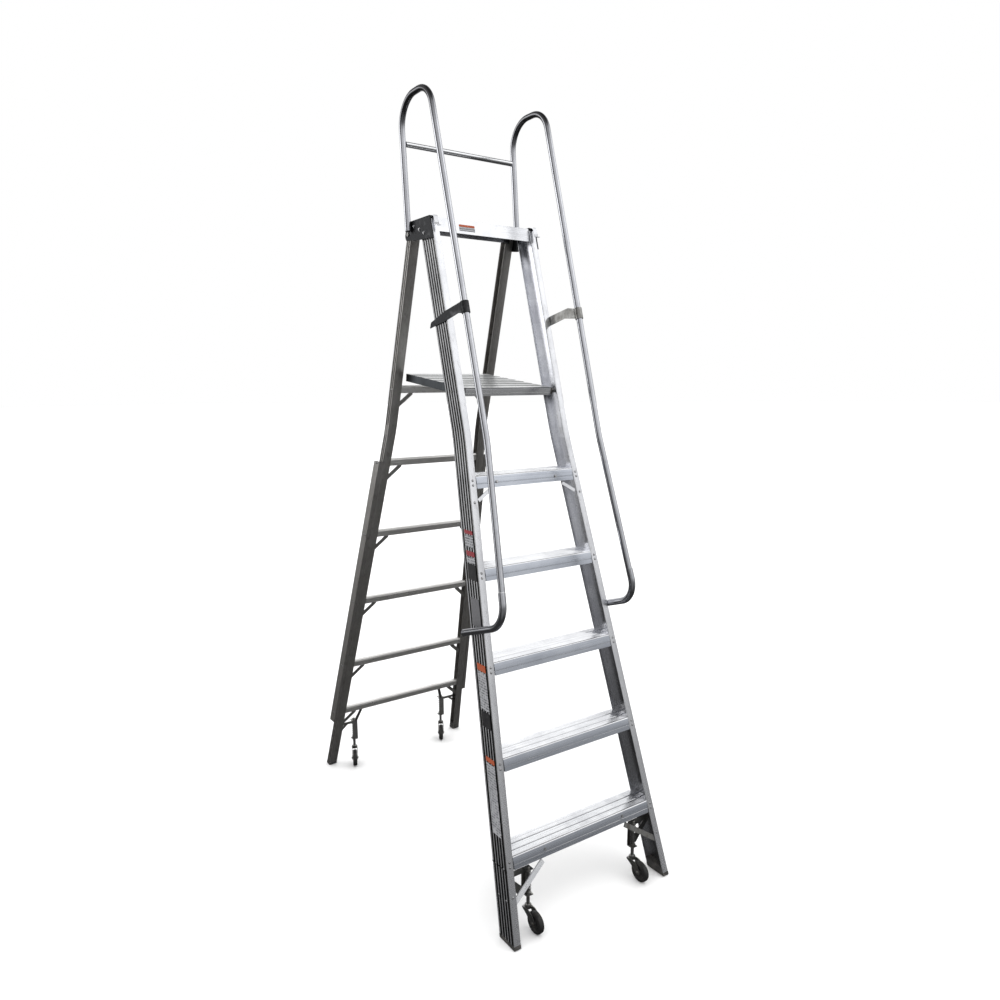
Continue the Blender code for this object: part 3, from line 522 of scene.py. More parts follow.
# the end view of a step or deck: ribbed bands on top with gaps between them,
# a skirt at front and rear, and one fine line across the front face
def plankOutline(look, x, front, back, z):
    points = [(front, z)]
    band = (back - front) / look["bands"]
    for i in range(look["bands"]):
        last = i == look["bands"] - 1
        first = front + band * i + (look["frontLand"] if i == 0 else look["bandGap"] / 2)
        final = front + band * (i + 1) - (look["rearLand"] if last else look["bandGap"] / 2)
        pitch = (final - first) / look["ribs"]
        for r in range(look["ribs"]):
            at = first + pitch * r
            if i or r:
                points.append((at, z))
            points.append((at + pitch - look["ribGap"], z))
            if r < look["ribs"] - 1:
                for share in (1 - look["ribSlope"], look["ribSlope"]):
                    points.append((at + pitch - look["ribGap"] * share, z - look["ribDeep"]))
        if not last:
            floor = z - look["bandDeep"]
            points += [(final, z), (final + look["bandSlope"], floor)]
            points.append((final + look["bandGap"] - look["bandSlope"], floor))
    rear = len(points)
    low, under, wall = z - look["face"], z - look["top"], look["wall"]
    points += [(back, z), (back, low), (back - wall, low), (back - wall, under)]
    points += [(front + wall, under), (front + wall, low), (front, low)]
    sunk, middle = front + look["lineDeep"], z - look["line"]
    outer, inner = look["lineHalf"], look["lineHalf"] - look["lineSlope"]
    points += [(front, middle - outer), (sunk, middle - inner)]
    points += [(sunk, middle + inner), (front, middle + outer)]
    return [(x, y, height) for y, height in points], rear


def onFace(centre, normal):
    return normal.y < -faceOn


# the five steps, with narrower tongues that go inside the rail flanges
tread = {
    "first": 0.2828, "rise": 0.3048, "count": 5, "depth": 0.0950, "ahead": 0.0005, "face": 0.0420,
    "top": 0.0060, "wall": 0.0030, "bands": 3, "bandGap": 0.0075, "bandDeep": 0.0030, "bandSlope": 0.0007,
    "ribs": 7, "ribGap": 0.0014, "ribDeep": 0.0010, "ribSlope": 0.2, "frontLand": 0.0040, "rearLand": 0.0020,
    "line": 0.0260, "lineHalf": 0.0015, "lineSlope": 0.0007, "lineDeep": 0.0010,
    "nose": 0.0035, "tail": 0.0015, "shoulder": 0.0015, "shadeDepths": (0.0024, 0.0036), "sharp": 0.35,
}


def buildTread(k):
    z = tread["first"] + tread["rise"] * k
    lean, gap = ladder["frontLean"], ladder["gap"]
    front = planeAt("front", z) - tread["ahead"]
    back = front + tread["depth"] + tread["ahead"]
    full = halfAt("front", z) - ladder["frontFlange"] - gap
    tongue = halfAt("front", z) - ladder["wall"] - gap
    points, rear = plankOutline(tread, -full, front, back, z)
    bm = swept(points, [(2 * full, 0, 0)], (((0,), tread["nose"], 4), ((rear,), tread["tail"], 2)))
    middle = Matrix.Translation((0, -(front + back) / 2, 0))
    keep = (ladder["frontDepth"] - 2 * ladder["wall"] - 2 * gap) / (back - front)
    for sign in (-1, 1):
        ends = [face for face in bm.faces if abs(face.calc_center_median().x - sign * full) < tiny]
        for reach, squeeze in ((tread["shoulder"], keep), (tongue - full - tread["shoulder"], 1.0)):
            ends, verts = pulled(bm, ends)
            bmesh.ops.translate(bm, vec=(sign * reach, 0, 0), verts=verts)
            bmesh.ops.scale(bm, vec=(1, squeeze, 1), verts=verts, space=middle)
    leanWith(bm, lean, z)

    def inGap(centre, normal):
        shallow, deep = tread["shadeDepths"]
        return normal.z > faceOn and shallow < z - centre.z < deep

    number = str(k + 1)
    replaced = ("step_" + number,)
    # painted shade on the tread front faces and on the floors of the band gaps
    also = ((treadFaceShadeMetal, onFace), (grooveShadeAndSeamMetal, inGap))
    addPiece("tread_" + number, bm, "base", treadMetal, replaced, tread["sharp"], also)


for k in range(tread["count"]):
    buildTread(k)
print("treads done")

# platform deck, tilted up towards the rear, with its skirt and two dark corner plugs
deck = {
    "half": 0.1880, "ahead": 0.0120, "height": 1.7985, "length": 0.4400, "slope": 0.1190, "face": 0.0290,
    "top": 0.0060, "wall": 0.0040, "bands": 8, "bandGap": 0.0200, "bandDeep": 0.0009, "bandSlope": 0.0005,
    "ribs": 3, "ribGap": 0.0020, "ribDeep": 0.0006, "ribSlope": 0.25, "frontLand": 0.0040, "rearLand": 0.0040,
    "line": 0.0190, "lineHalf": 0.0015, "lineSlope": 0.0007, "lineDeep": 0.0008,
    "nose": 0.0030, "tail": 0.0020, "shadeDepths": (0.0004, 0.0045), "shadeSide": 0.5, "sharp": 0.35,
}
plug = {
    "across": (0.0005, 0.0300), "tall": (-0.0275, -0.0020), "out": 0.0004, "thick": 0.0080, "corner": 0.0040,
}


def buildDeck():
    half, length, wall = deck["half"], deck["length"], deck["wall"]
    tilt = atan(deck["slope"])
    front = planeAt("front", deck["height"]) + deck["ahead"]
    points, rear = plankOutline(deck, -half, 0, length, 0)
    bm = swept(points, [(2 * half, 0, 0)], (((0,), deck["nose"], 4), ((rear,), deck["tail"], 3)))
    for side, _ in sides:  # skirts close the ends
        skirt = rectangle((wall, length - wall), (-deck["top"], -deck["face"]))
        merge(bm, swept([(side * half, y, z) for y, z in skirt], [(-side * wall, 0, 0)]))
    turn = Matrix.Translation((0, front, deck["height"])) @ Matrix.Rotation(tilt, 4, "X")
    bmesh.ops.transform(bm, matrix=turn, verts=bm.verts)

    def onSkirt(centre, normal):
        return abs(normal.x) > faceOn

    def inShadedRecess(centre, normal):
        down = (centre.y - front) * sin(tilt) - (centre.z - deck["height"]) * cos(tilt)
        shallow, deep = deck["shadeDepths"]
        return abs(normal.x) < deck["shadeSide"] and shallow < down < deep

    # painted shade: faces 0.4 to 4.5 mm below the deck top, in its gaps and grooves, take the dark skirt
    # finish
    also = ((skirtMetal, onSkirt), (treadMetal, onFace), (skirtMetal, inShadedRecess))
    addPiece("platform_deck", bm, "platform", deckMetal, ("platform",), deck["sharp"], also)
    for side, word in sides:
        outline = [(side * (half + plug["out"]), y, z) for y, z in rectangle(plug["across"], plug["tall"])]
        bm = swept(outline, [(side * plug["thick"], 0, 0)], (((0, 1, 2, 3), plug["corner"], 4),))
        bmesh.ops.transform(bm, matrix=turn, verts=bm.verts)
        addPiece("deck_plug_" + word, bm, "platform", soleRubber)


buildDeck()
print("platform done")

# rear rungs, and the flat straps bent from their undersides to the rails
rung = {
    "levels": (0.299, 0.549, 0.868, 1.183, 1.494, 1.790), "tall": 0.0300, "frontDrop": 0.0070,
    "ribs": 5, "ribGap": 0.0014, "ribLow": 0.0005, "ribDeep": 0.0010, "ribEase": 0.0004,
    "edge": 0.0030, "top": 0.0060, "sharp": 0.35,
}
strap = {
    "across": 0.0500, "overRail": 0.0120, "lift": 0.0020, "drop": 0.0540, "wide": 0.0160, "thick": 0.0030,
    "ahead": 0.0002, "corner": 0.0045, "rivetAt": 0.13, "rivetOut": 0.0065, "rivet": (0.0038, 0.0018),
}


def buildRung(k):
    z, edge = rung["levels"][k], rung["edge"]
    clear = ladder["wall"] + ladder["gap"]
    low, high = z - rung["tall"] / 2, z + rung["tall"] / 2
    half = halfAt("rear", high) - clear
    front = planeAt("rear", z) + clear
    back = planeAt("rear", z) + ladder["rearDepth"] - clear
    points = [(front, low), (front, high - rung["frontDrop"])]
    pitch = (back - front - 2 * edge) / rung["ribs"]
    for r in range(rung["ribs"]):
        at = front + edge + pitch * r
        points += [(at + rung["ribEase"], high), (at + pitch - rung["ribGap"], high)]
        if r < rung["ribs"] - 1:
            points.append((at + pitch - rung["ribLow"], high - rung["ribDeep"]))
    under = high - rung["top"]
    points += [(back, high - edge), (back, low), (back - edge, low), (back - edge, under)]
    points += [(front + edge, under), (front + edge, low)]
    bm = swept([(-half, y, height) for y, height in points], [(2 * half, 0, 0)])
    leanWith(bm, ladder["rearLean"], z)
    number = str(k + 1)
    replaced = ("rear_rung_" + number,)
    addPiece("rung_" + number, bm, "rear_frame", rungMetal, replaced, rung["sharp"])
    for side, word in sides:
        buildStrap(number, side, word, halfAt("rear", z) - ladder["rearFlange"], low, clear)


def buildStrap(number, side, word, inner, low, clear):
    top = Vector((side * (inner - strap["across"]), low + strap["lift"]))
    foot = Vector((side * (inner + strap["overRail"]), low - strap["drop"]))
    run = foot - top
    aside = Vector((-run.y, run.x)).normalized() * strap["wide"] / 2
    outline = []
    for x, z in (top + aside, foot + aside, foot - aside, top - aside):
        outline.append((x, planeAt("rear", z) + clear + strap["ahead"], z))
    bm = swept(outline, [(0, strap["thick"], 0)], (((0, 1, 2, 3), strap["corner"], 4),))
    for x, z in (top + run * strap["rivetAt"], foot - run * strap["rivetAt"]):
        place = (x, planeAt("rear", z) + strap["rivetOut"], z)
        addRivet(bm, place, (0, 1, -ladder["rearLean"]), strap["rivet"])
    addPiece("rung_strap_" + number + "_" + word, bm, "rear_frame", shadedRearMetal)


for k in range(len(rung["levels"])):
    buildRung(k)
print("rungs done")

# handrails: a looped tube each side, a sleeve that bends in to the rail, and a cross tube
hand = {
    "radius": 0.0111, "outFromRail": 0.0055, "stand": 0.1520, "postAhead": 0.0230, "postLean": 0.0840,
    "postFoot": 2.352, "loopTop": 2.795, "loopRadius": 0.095, "easeRadius": 0.6, "smooth": 8,
    "sleeve": 0.0123, "sleeveTop": 1.157, "corner": 1.051, "cornerRadius": 0.080, "end": 0.968,
    "endBehind": 0.0260, "bar": 2.650, "barRadius": 0.0095, "barSpans": 4,
}
pivotY = planeAt("rear", ladder["pivot"]) + ladder["rearDepth"] / 2
tubeX = ladder["frontHalf"][2] + hand["outFromRail"] + hand["radius"]


def onHandrail(side, y, z, radius):
    return (side * max(tubeX, halfAt("front", z) + radius + ladder["gap"]), y, z)


def runAt(z):
    return planeAt("front", z) - hand["stand"]


def postAt(z):
    return pivotY - hand["postAhead"] + hand["postLean"] * (z - hand["postFoot"])


def buildHandrail(side, word):
    radius = hand["radius"]
    corners = [onHandrail(side, postAt(z), z, radius) for z in (hand["postFoot"], hand["loopTop"])]
    for z in (hand["loopTop"], ladder["bend"], hand["sleeveTop"]):
        corners.append(onHandrail(side, runAt(z), z, radius))
    path = smoothPath(corners, (hand["loopRadius"], hand["loopRadius"], hand["easeRadius"]))
    replaced = ("handrail_" + word,)
    addTube("handrail_tube_" + word, path, radius, "base", tubeMetal, replaced, hand["smooth"])
    radius = hand["sleeve"]
    top = hand["sleeveTop"] - ladder["gap"]
    endY = planeAt("front", hand["end"]) + ladder["frontDepth"] + hand["endBehind"]
    corners = [onHandrail(side, runAt(z), z, radius) for z in (top, hand["corner"])]
    corners.append(onHandrail(side, endY, hand["end"], radius))
    path = smoothPath(corners, (hand["cornerRadius"],))
    replaced = ("handrail_lower_bend_" + word,)
    addTube("handrail_sleeve_" + word, path, radius, "base", tubeMetal, replaced, hand["smooth"])


for side, word in sides:
    buildHandrail(side, word)
barHalf = tubeX - hand["radius"] - ladder["gap"]
bar = []
for i in range(hand["barSpans"] + 1):
    bar.append((-barHalf + 2 * barHalf * i / hand["barSpans"], postAt(hand["bar"]), hand["bar"]))
addTube(
    "handrail_cross_tube", bar, hand["barRadius"], "base", litBarMetal, ("handrail_crossbar",),
    hand["smooth"],
)
print("handrails done")

# spring casters, drawn trailing towards -y: heights are from the fork's top, but the cheek's axle
# corners are from the floor and the stem's cap is from the arm's top
caster = {
    "radius": 0.0380, "width": 0.0200, "hubShare": 0.66, "wheelSteps": 56, "trail": 0.0440,
    "armTop": 0.2130, "forkDrop": 0.0040, "play": 0.0015, "cheekThick": 0.0025,
    "cheekTop": ((0.0150, -0.0060), (0.0150, 0.0), (-0.0200, 0.0015), (-0.0420, -0.0080)),
    "cheekAxle": ((-0.0110, 0.0420), (-0.0080, 0.0290), (0.0060, 0.0280)), "cheekHeel": (-0.0100, -0.0200),
    "axleCorner": 0.0065, "cheekCorner": 0.0030,
    "crown": ((0.0145, -0.0045), (0.0145, -0.0002), (-0.0105, -0.0002), (-0.0105, -0.0035)),
    "crownOver": 0.0010, "races": ((0.0125, -0.0030, 0.0041), (0.0108, -0.0045, -0.0030)),
    "axle": 0.0040, "axleOver": 0.0020, "axleEnd": (0.0055, 0.0026),
    "stem": 0.0060, "collar": (0.1218, 0.1275), "collarRadius": 0.0112, "stemSteps": 32,
    "stemFoot": ((0.0, 0.0046), (0.0120, 0.0046), (0.0120, 0.0082), (0.0108, 0.0090), (0.0072, 0.0094)),
    "stemRise": 0.0110, "stemCap": ((0.0060, 0.0088), (0.0050, 0.0100), (0.0, 0.0100)),
    "turns": 7, "turnPoints": 24, "wire": 0.0013, "mean": 0.0092, "seat": 0.0005, "wireSmooth": 3,
    "places": (  # word, side, swivel, inset from the rail's side, distance behind its front
        ("front_left", -1, 0.0, 0.0975, 0.0203), ("front_right", 1, 0.0, 0.0975, 0.0203),
        ("rear_left", -1, -0.40, 0.1070, 0.0392), ("rear_right", 1, -0.50, 0.1070, 0.0392),
    ),
}


def buildSpring(word, x, y, holder):
    low = caster["collar"][1] + caster["wire"] + caster["seat"]
    high = caster["armTop"] - caster["wire"] - caster["seat"]
    count = caster["turns"] * caster["turnPoints"]
    path = []
    for i in range(count + 1):
        angle = 2 * pi * i / caster["turnPoints"]
        across, back = caster["mean"] * cos(angle), caster["mean"] * sin(angle)
        path.append((x + across, y + back, low + (high - low) * i / count))
    spring = addTube(
        "spring_coil_" + word, path, caster["wire"], holder, springMetal,
        ("caster_spring_" + word,), caster["wireSmooth"],
    )
    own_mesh(spring)


# each profile is one side of the wheel: radius, and depth in from the side face
def buildWheel(word, axle):
    half, rim = caster["width"] / 2, caster["radius"]
    hub = rim * caster["hubShare"]
    tyreSide = (
        (hub, 0.0018), (hub + 0.0015, 0.0), (rim - 0.0045, 0.0), (rim - 0.0012, 0.0022), (rim, 0.0060),
    )
    hubSide = (
        (0.0044, -0.0008), (0.0098, -0.0008), (0.0112, 0.0022),
        (hub - 0.0035, 0.0034), (hub - 0.0016, 0.0012), (hub - 0.0002, 0.0022),
    )
    for part, profile, replaced in (("tyre", tyreSide, ("caster_wheel_" + word,)), ("hub", hubSide, ())):
        points = [(depth - half, 0, radius) for radius, depth in profile]
        points += [(half - depth, 0, radius) for radius, depth in reversed(profile)]
        bm = turned(points, (1, 0, 0), caster["wheelSteps"], True)
        bmesh.ops.transform(bm, matrix=axle, verts=bm.verts)
        addPiece("caster_" + part + "_" + word, bm, "wheel_" + word, tyreRubber, replaced)


# formed fork: a cheek each side, the crown over the wheel, the race above it and the axle
def buildFork(word, spin, top):
    trail, thick = caster["trail"], caster["cheekThick"]
    inner = caster["width"] / 2 + caster["play"]
    heelY, heelZ = caster["cheekHeel"]
    cheek = [(y, top + z) for y, z in caster["cheekTop"]] + [(y - trail, z) for y, z in caster["cheekAxle"]]
    cheek.append((heelY, top + heelZ))
    rounding = (((4, 5, 6), caster["axleCorner"], 5), ((0, 1, 2, 3, 7), caster["cheekCorner"], 3))
    bm = bmesh.new()
    for side, _ in sides:
        merge(bm, swept([(side * inner, y, z) for y, z in cheek], [(side * thick, 0, 0)], rounding))
    crownX = inner + caster["crownOver"]
    merge(bm, swept([(-crownX, y, top + z) for y, z in caster["crown"]], [(2 * crownX, 0, 0)]))
    for radius, low, high in caster["races"]:
        verts = bmesh.ops.create_cone(
            bm, cap_ends=True, segments=32, radius1=radius, radius2=radius, depth=high - low,
        )["verts"]
        bmesh.ops.translate(bm, vec=(0, 0, top + (low + high) / 2), verts=verts)
    for side, _ in sides:
        addRivet(bm, (side * (inner + thick), -trail, caster["radius"]), (side, 0, 0), caster["axleEnd"])
    verts = bmesh.ops.create_cone(
        bm, cap_ends=True, segments=20, radius1=caster["axle"], radius2=caster["axle"],
        depth=2 * (inner + caster["axleOver"]),
    )["verts"]
    turn = Matrix.Translation((0, -trail, caster["radius"])) @ Matrix.Rotation(pi / 2, 4, "Y")
    bmesh.ops.transform(bm, matrix=turn, verts=verts)
    bmesh.ops.transform(bm, matrix=spin, verts=bm.verts)
    addPiece("fork_" + word, bm, "fork_" + word, zincMetal, ("caster_fork_" + word,))


def buildStem(word, x, y, top):
    stem, low, high = caster["stem"], *caster["collar"]
    profile = [(radius, top + z) for radius, z in caster["stemFoot"]] + [(stem, top + caster["stemRise"])]
    profile += [(stem, low), (caster["collarRadius"], low), (caster["collarRadius"], high), (stem, high)]
    profile += [(radius, caster["armTop"] + z) for radius, z in caster["stemCap"]]
    bm = turned([(radius, 0, z) for radius, z in profile], (0, 0, 1), caster["stemSteps"], False)
    bmesh.ops.translate(bm, vec=(x, y, 0), verts=bm.verts)
    addPiece("stem_" + word, bm, "stem_" + word, zincMetal, ("caster_stem_" + word,))


def buildCaster(word, side, turn, inset, behind):
    end = word.split("_")[0]
    x = side * (halfAt(end, caster["armTop"]) - inset)
    y = planeAt(end, caster["armTop"]) + behind
    top = caster["radius"] * 2 - caster["forkDrop"]
    spin = Matrix.Translation((x, y, 0)) @ Matrix.Rotation(turn, 4, "Z")
    buildSpring(word, x, y, "base" if end == "front" else "rear_frame")
    buildWheel(word, spin @ Matrix.Translation((0, -caster["trail"], caster["radius"])))
    buildFork(word, spin, top)
    buildStem(word, x, y, top)


for place in caster["places"]:
    buildCaster(*place)
print("casters done")

# fasteners: sizes are radius and height for rivets, width and height for bolts
fastener = {
    "frontRivet": (0.0046, 0.0022), "frontInset": 0.0135, "drops": (0.0140, 0.0300), "loose": (1.415, 0.161),
    "webLevels": (0.242, 0.145), "webAcross": (0.020, 0.064),
    "rearRivet": (0.0042, 0.0020), "rearAcross": (0.010, 0.024),
    "stiffener": 0.0172, "stiffened": (0.25, 1.5),
    "footRivet": (0.0040, 0.0020), "footLevels": (0.200, 0.150, 0.095), "footAcross": 0.017,
    "headBolt": (0.0080, 0.0036), "headX": 0.2298,
    "headPlaces": ((0.006, 2.356), (0.046, 2.366), (0.085, 2.350), (0.118, 2.334)),
    "treadBolt": (0.0080, 0.0034), "treadAhead": 0.0005,
    "treadPlaces": ((-0.175, 0.265), (0.179, 0.265), (-0.130, 1.478), (0.130, 1.478)),
}
outOfFlange = (0, -1, ladder["frontLean"])


def buildFrontRivets(side, word):
    size = fastener["frontRivet"]
    levels = list(fastener["loose"])
    for k in range(tread["count"]):
        levels += [tread["first"] + tread["rise"] * k - drop for drop in fastener["drops"]]
    bm = bmesh.new()
    for z in levels:
        place = (side * (halfAt("front", z) - fastener["frontInset"]), planeAt("front", z), z)
        addRivet(bm, place, outOfFlange, size)
    for z in fastener["webLevels"]:
        for across in fastener["webAcross"]:
            addRivet(bm, (side * halfAt("front", z), planeAt("front", z) + across, z), (side, 0, 0), size)
    addPiece("front_rivets_" + word, bm, "base", rivetMetal)


def buildRearRivets(side, word):
    lowest, highest = fastener["stiffened"]
    bm = bmesh.new()
    for z in rung["levels"]:
        x = halfAt("rear", z) + (fastener["stiffener"] if lowest < z < highest else 0.0)
        for across in fastener["rearAcross"]:
            addRivet(bm, (side * x, planeAt("rear", z) + across, z), (side, 0, 0), fastener["rearRivet"])
    for z in fastener["footLevels"]:
        place = (side * halfAt("rear", z), planeAt("rear", z) + fastener["footAcross"], z)
        addRivet(bm, place, (side, 0, 0), fastener["footRivet"])
    addPiece("rear_rivets_" + word, bm, "rear_frame", rivetMetal)


for side, word in sides:
    buildFrontRivets(side, word)
    buildRearRivets(side, word)
for side, word in sides:
    bm = bmesh.new()
    for ahead, z in fastener["headPlaces"]:
        addBolt(bm, (side * fastener["headX"], pivotY - ahead, z), (side, 0, 0), fastener["headBolt"])
    addPiece("head_bolts_" + word, bm, "base", rivetMetal)
bm = bmesh.new()
for x, z in fastener["treadPlaces"]:
    addBolt(bm, (x, planeAt("front", z) - fastener["treadAhead"], z), outOfFlange, fastener["treadBolt"])
addPiece("tread_bolts", bm, "base", rivetMetal)
print("fasteners done")

# blank stickers down the left rail: bottom, top and colour of each
sticker = {
    "across": (0.013, 0.064), "lift": 0.0002, "thick": 0.0003, "corner": 0.0020,
    "rows": (
        (1.307, 1.320, "red"), (1.264, 1.304, "white"), (1.234, 1.251, "red"), (1.2100, 1.231, "white"),
        (1.155, 1.2085, "black"), (1.002, 1.096, "grey"), (0.859, 0.882, "orange"), (0.734, 0.856, "white"),
        (0.677, 0.728, "black"), (0.566, 0.582, "orange"), (0.340, 0.5625, "white"),
    ),
}
for number, (low, high, colour) in enumerate(sticker["rows"]):
    outline = []
    for across, z in rectangle(sticker["across"], (low, high)):
        outline.append((-halfAt("front", z) - sticker["lift"], planeAt("front", z) + across, z))
    bm = swept(outline, [(-sticker["thick"], 0, 0)], (((0, 1, 2, 3), sticker["corner"], 3),))
    addPiece("sticker_%02d" % number, bm, "base", stickers[colour])

# two stickers that make one label on the leaning face of the head
headSticker = {
    "across": (-0.112, -0.046), "behind": 0.0030, "level": 2.384, "lean": 0.25, "thick": 0.0003,
    "corner": 0.0015, "rows": (("lower", (2.346, 2.360), "white"), ("upper", (2.3605, 2.368), "orange")),
}
for name, tall, colour in headSticker["rows"]:
    y = planeAt("front", headSticker["level"]) + headSticker["behind"]
    outline = [(x, y, z) for x, z in rectangle(headSticker["across"], tall)]
    bm = swept(outline, [(0, -headSticker["thick"], 0)], (((0, 1, 2, 3), headSticker["corner"], 3),))
    leanWith(bm, headSticker["lean"], headSticker["level"])
    addPiece("head_sticker_" + name, bm, "base", stickers[colour])

# the seam where each rail's lower length is spliced on
seam = {"tall": (0.2405, 0.2435), "lift": 0.0002, "thick": 0.0003}
for side, word in sides:
    outline = []
    for across, z in rectangle((0.0, ladder["frontDepth"]), seam["tall"]):
        outline.append((side * (halfAt("front", z) + seam["lift"]), planeAt("front", z) + across, z))
    addPiece("rail_seam_" + word, swept(outline, [(side * seam["thick"], 0, 0)]), "base", grooveShadeAndSeamMetal)
print("stickers done")

# head brackets: dark cast plate and flange, and a bright curled lip in front
head = {
    "low": 2.336, "high": 2.384, "inside": 0.2258, "thick": 0.0040, "foot": 0.026, "corner": 0.004,
    "flangeInside": 0.1980, "flangeThick": 0.0030, "flangeAhead": 0.0120, "behind": 0.0010, "sharp": 0.4,
    "lowEdge": ((-0.040, -0.018), (0.018, -0.010)), "backEdge": ((0.024, -0.005), (0.016, 0.021)),
    "topCorner": -0.0100, "lip": 0.2060, "lipWide": 0.0160, "lipLift": 0.0001,
    "curlOuter": 0.0030, "curlInner": 0.0012,
    "curl": (
        (0.0042, 0.0030), (-0.0138, 0.0030), (-0.0248, -0.0320), (-0.0388, -0.0320),
        (-0.0388, -0.0345), (-0.0270, -0.0345), (-0.0120, 0.0003), (0.0042, 0.0003),
    ),
}


def buildHead(side, word):
    low, high, inside = head["low"], head["high"], head["inside"]
    foot, crown = low - head["foot"], high + head["flangeThick"]
    edge = planeAt("front", high) + head["behind"]
    outline = [(planeAt("front", foot), foot)]
    outline += [(pivotY + y, low + z) for y, z in head["lowEdge"]]
    outline += [(pivotY + y, ladder["pivot"] + z) for y, z in head["backEdge"]]
    outline += [(pivotY + head["topCorner"], crown), (edge, crown)]
    rounding = (((1, 2, 3, 4, 5), head["corner"], 4),)
    bm = swept([(side * inside, y, z) for y, z in outline], [(side * head["thick"], 0, 0)], rounding)
    flange = rectangle((edge, pivotY - head["flangeAhead"]), (high, crown))
    flange = [(side * head["flangeInside"], y, z) for y, z in flange]
    merge(bm, swept(flange, [(side * (inside - head["flangeInside"]), 0, 0)]))
    replaced = ("head_bracket_" + word,)
    addPiece("head_plate_" + word, bm, "base", headMetal, replaced, head["sharp"])
    front, level = planeAt("front", high), high + head["lipLift"]
    lip = [(side * head["lip"], front + y, level + z) for y, z in head["curl"]]
    rounding = (((1, 2), head["curlOuter"], 4), ((5, 6), head["curlInner"], 3))
    bm = swept(lip, [(side * head["lipWide"], 0, 0)], rounding)
    addPiece("head_lip_" + word, bm, "base", treadMetal)


for side, word in sides:
    buildHead(side, word)
print("head done")

# finishes on the frame's own nodes: by slot, then a painted-shade copy of the aluminium for the rear frame,
# then by name
slotFinish = {
    "aluminium": frontMetal, "head_casting": headMetal, "zinc_plated": zincMetal, "spring_steel": springMetal,
    "foot_rubber": soleRubber, "wheel_rubber": tyreRubber,
}
# painted light by side: the left first-step brace takes the bright brace finish and its right twin zinc, and
# the right handrail standoff takes lighter zinc in place of the slot finish that the left one keeps
nodeFinish = {
    "head_channel": treadMetal, "step_1_brace_left": litBraceMetal, "step_1_brace_right": zincMetal,
    "handrail_standoff_right": zincMetal,
}
for part in frame["record"]["subparts"]:
    name, slotName = part["node"], part["material_slot"]
    finish = slotFinish[slotName]
    if name.startswith("rear_") and slotName == "aluminium":
        finish = shadedRearMetal
    for slot in bpy.data.objects[name].material_slots:
        slot.material = nodeFinish.get(name, finish)
print("finishes set")

# camera, in metres and degrees
view = {
    "place": (-1.6432, -2.5727, 1.8271), "yaw": 34.325, "pitch": -11.141, "roll": -0.185,
    "lens": 27.923, "film": 36.0, "shift": (0.0025, 0.0322), "clip": (0.05, 60),
}
camera = bpy.data.cameras.new("camera")
camera.lens, camera.sensor_width = view["lens"], view["film"]
camera.shift_x, camera.shift_y = view["shift"]
camera.clip_start, camera.clip_end = view["clip"]
eye = bpy.data.objects.new("camera", camera)
bpy.context.scene.collection.objects.link(eye)
turn = Matrix.Rotation(-radians(view["yaw"]), 4, "Z") @ Matrix.Rotation(radians(90 + view["pitch"]), 4, "X")
eye.matrix_world = Matrix.Translation(view["place"]) @ turn @ Matrix.Rotation(radians(view["roll"]), 4, "Z")
bpy.context.scene.camera = eye

# pale floor, just below the soles; the metal doesn't mirror it, only the room's dim lower half
ground = {"size": 60, "drop": 0.0004, "tone": (0.90, 0.90, 0.90, 1), "rough": 0.8}
bm = bmesh.new()
bmesh.ops.create_grid(bm, x_segments=2, y_segments=2, size=ground["size"])
mesh = bpy.data.meshes.new("studio_floor")
bm.to_mesh(mesh)
bm.free()
floor = bpy.data.objects.new("studio_floor", mesh)
bpy.context.scene.collection.objects.link(floor)
floor.location.z = -ground["drop"]
made, nodes, links, shader = newMaterial("pale floor")
shader.inputs["Base Color"].default_value = ground["tone"]
shader.inputs["Roughness"].default_value = ground["rough"]
shader.inputs["Specular IOR Level"].default_value = 0.0
mesh.materials.append(made)
floor.visible_glossy = False

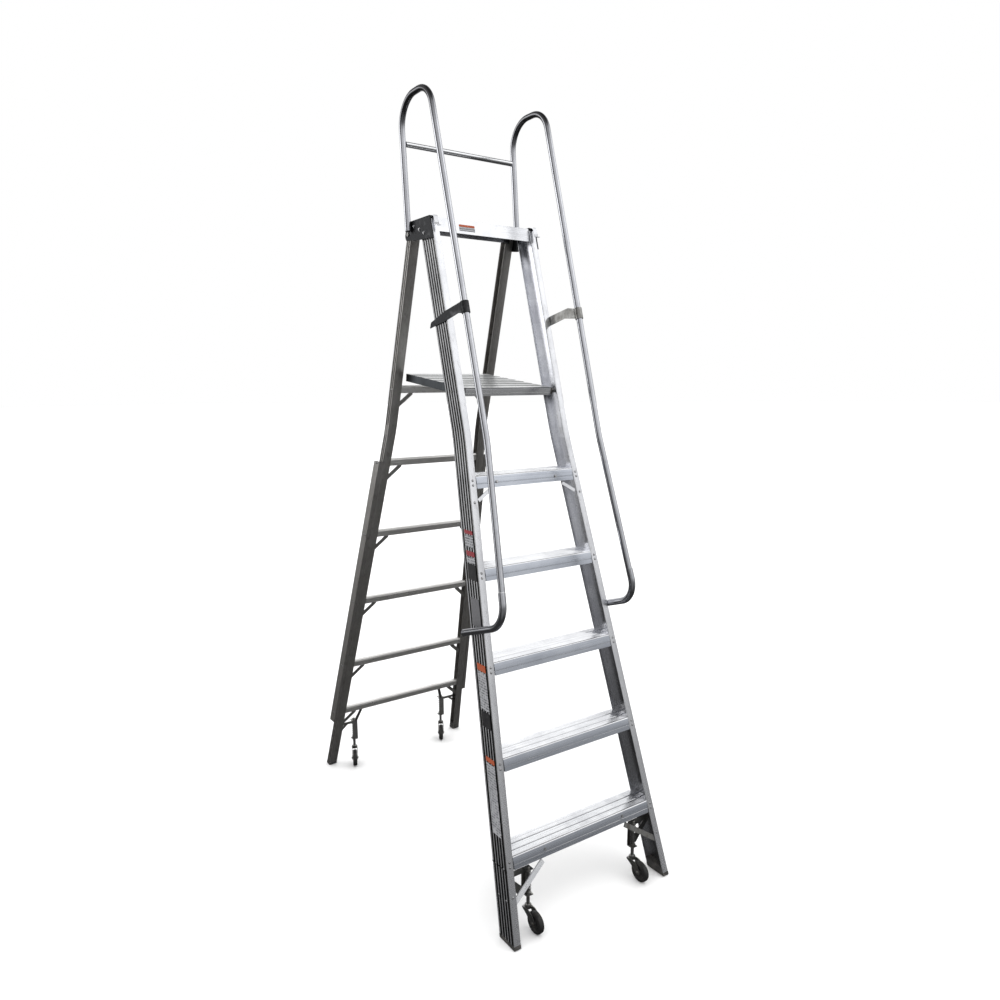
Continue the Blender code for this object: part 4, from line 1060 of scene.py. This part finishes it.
# the studio is a pale room with soft windows; each one has a direction and a width
studio = {
    "base": 0.22, "seen": 1.0, "lowest": 0.18, "levels": (-0.10, 0.60),
    "ceiling": (0.70, 0.97), "ceilingShare": 0.35,
    "windows": (
        {"towards": (0.80, -0.58, 0.25), "from": 0.55, "to": 0.95, "power": 1.25},
        {"towards": (0.58, 0.80, 0.15), "from": 0.75, "to": 0.98, "power": 1.5},
        {"towards": (-0.45, -0.87, 0.10), "from": 0.50, "to": 0.95, "power": 0.75},
        {"towards": (-0.72, 0.69, 0.10), "from": 0.91, "to": 0.985, "power": 4.0},
    ),
}
world = bpy.data.worlds.new("studio")
world.use_nodes = True
nodes, links = world.node_tree.nodes, world.node_tree.links
background = nodes["Background"]
coords = nodes.new("ShaderNodeTexCoord")


def worldRange(source, limits, toLow, toHigh, shape):
    made = nodes.new("ShaderNodeMapRange")
    made.interpolation_type = shape
    made.inputs["From Min"].default_value, made.inputs["From Max"].default_value = limits
    made.inputs["To Min"].default_value = toLow
    made.inputs["To Max"].default_value = toHigh
    links.new(source, made.inputs["Value"])
    return made.outputs["Result"]


total = studio["base"]
for window in studio["windows"]:
    dot = nodes.new("ShaderNodeVectorMath")
    dot.operation = "DOT_PRODUCT"
    dot.inputs[1].default_value = Vector(window["towards"]).normalized()
    links.new(coords.outputs["Generated"], dot.inputs[0])
    limits = (window["from"], window["to"])
    glow = worldRange(dot.outputs["Value"], limits, 0.0, window["power"], "SMOOTHSTEP")
    total = combined(nodes, links, "ADD", glow, total)
split = nodes.new("ShaderNodeSeparateXYZ")
links.new(coords.outputs["Generated"], split.inputs["Vector"])
rising = worldRange(split.outputs["Z"], studio["levels"], studio["lowest"], 1.0, "LINEAR")
ceiling = worldRange(split.outputs["Z"], studio["ceiling"], 1.0, studio["ceilingShare"], "SMOOTHSTEP")
total = combined(nodes, links, "MULTIPLY", total, rising)
total = combined(nodes, links, "MULTIPLY", total, ceiling)
path = nodes.new("ShaderNodeLightPath")
pick = nodes.new("ShaderNodeMix")
links.new(path.outputs["Is Camera Ray"], pick.inputs["Factor"])
links.new(total, pick.inputs["A"])
pick.inputs["B"].default_value = studio["seen"]
links.new(pick.outputs["Result"], background.inputs["Strength"])
background.inputs["Color"].default_value = (1, 1, 1, 1)
bpy.context.scene.world = world
bpy.context.scene.view_settings.view_transform = "Standard"

# one wide soft light straight overhead keeps the floor pale out to the horizon
lamp = {"energy": 3.4, "spread": 100, "height": 6}
overhead = bpy.data.lights.new("overhead", "SUN")
overhead.energy, overhead.angle = lamp["energy"], radians(lamp["spread"])
overheadObject = bpy.data.objects.new("overhead", overhead)
bpy.context.scene.collection.objects.link(overheadObject)
overheadObject.location.z = lamp["height"]
overheadObject.visible_glossy = False
print("studio ready")
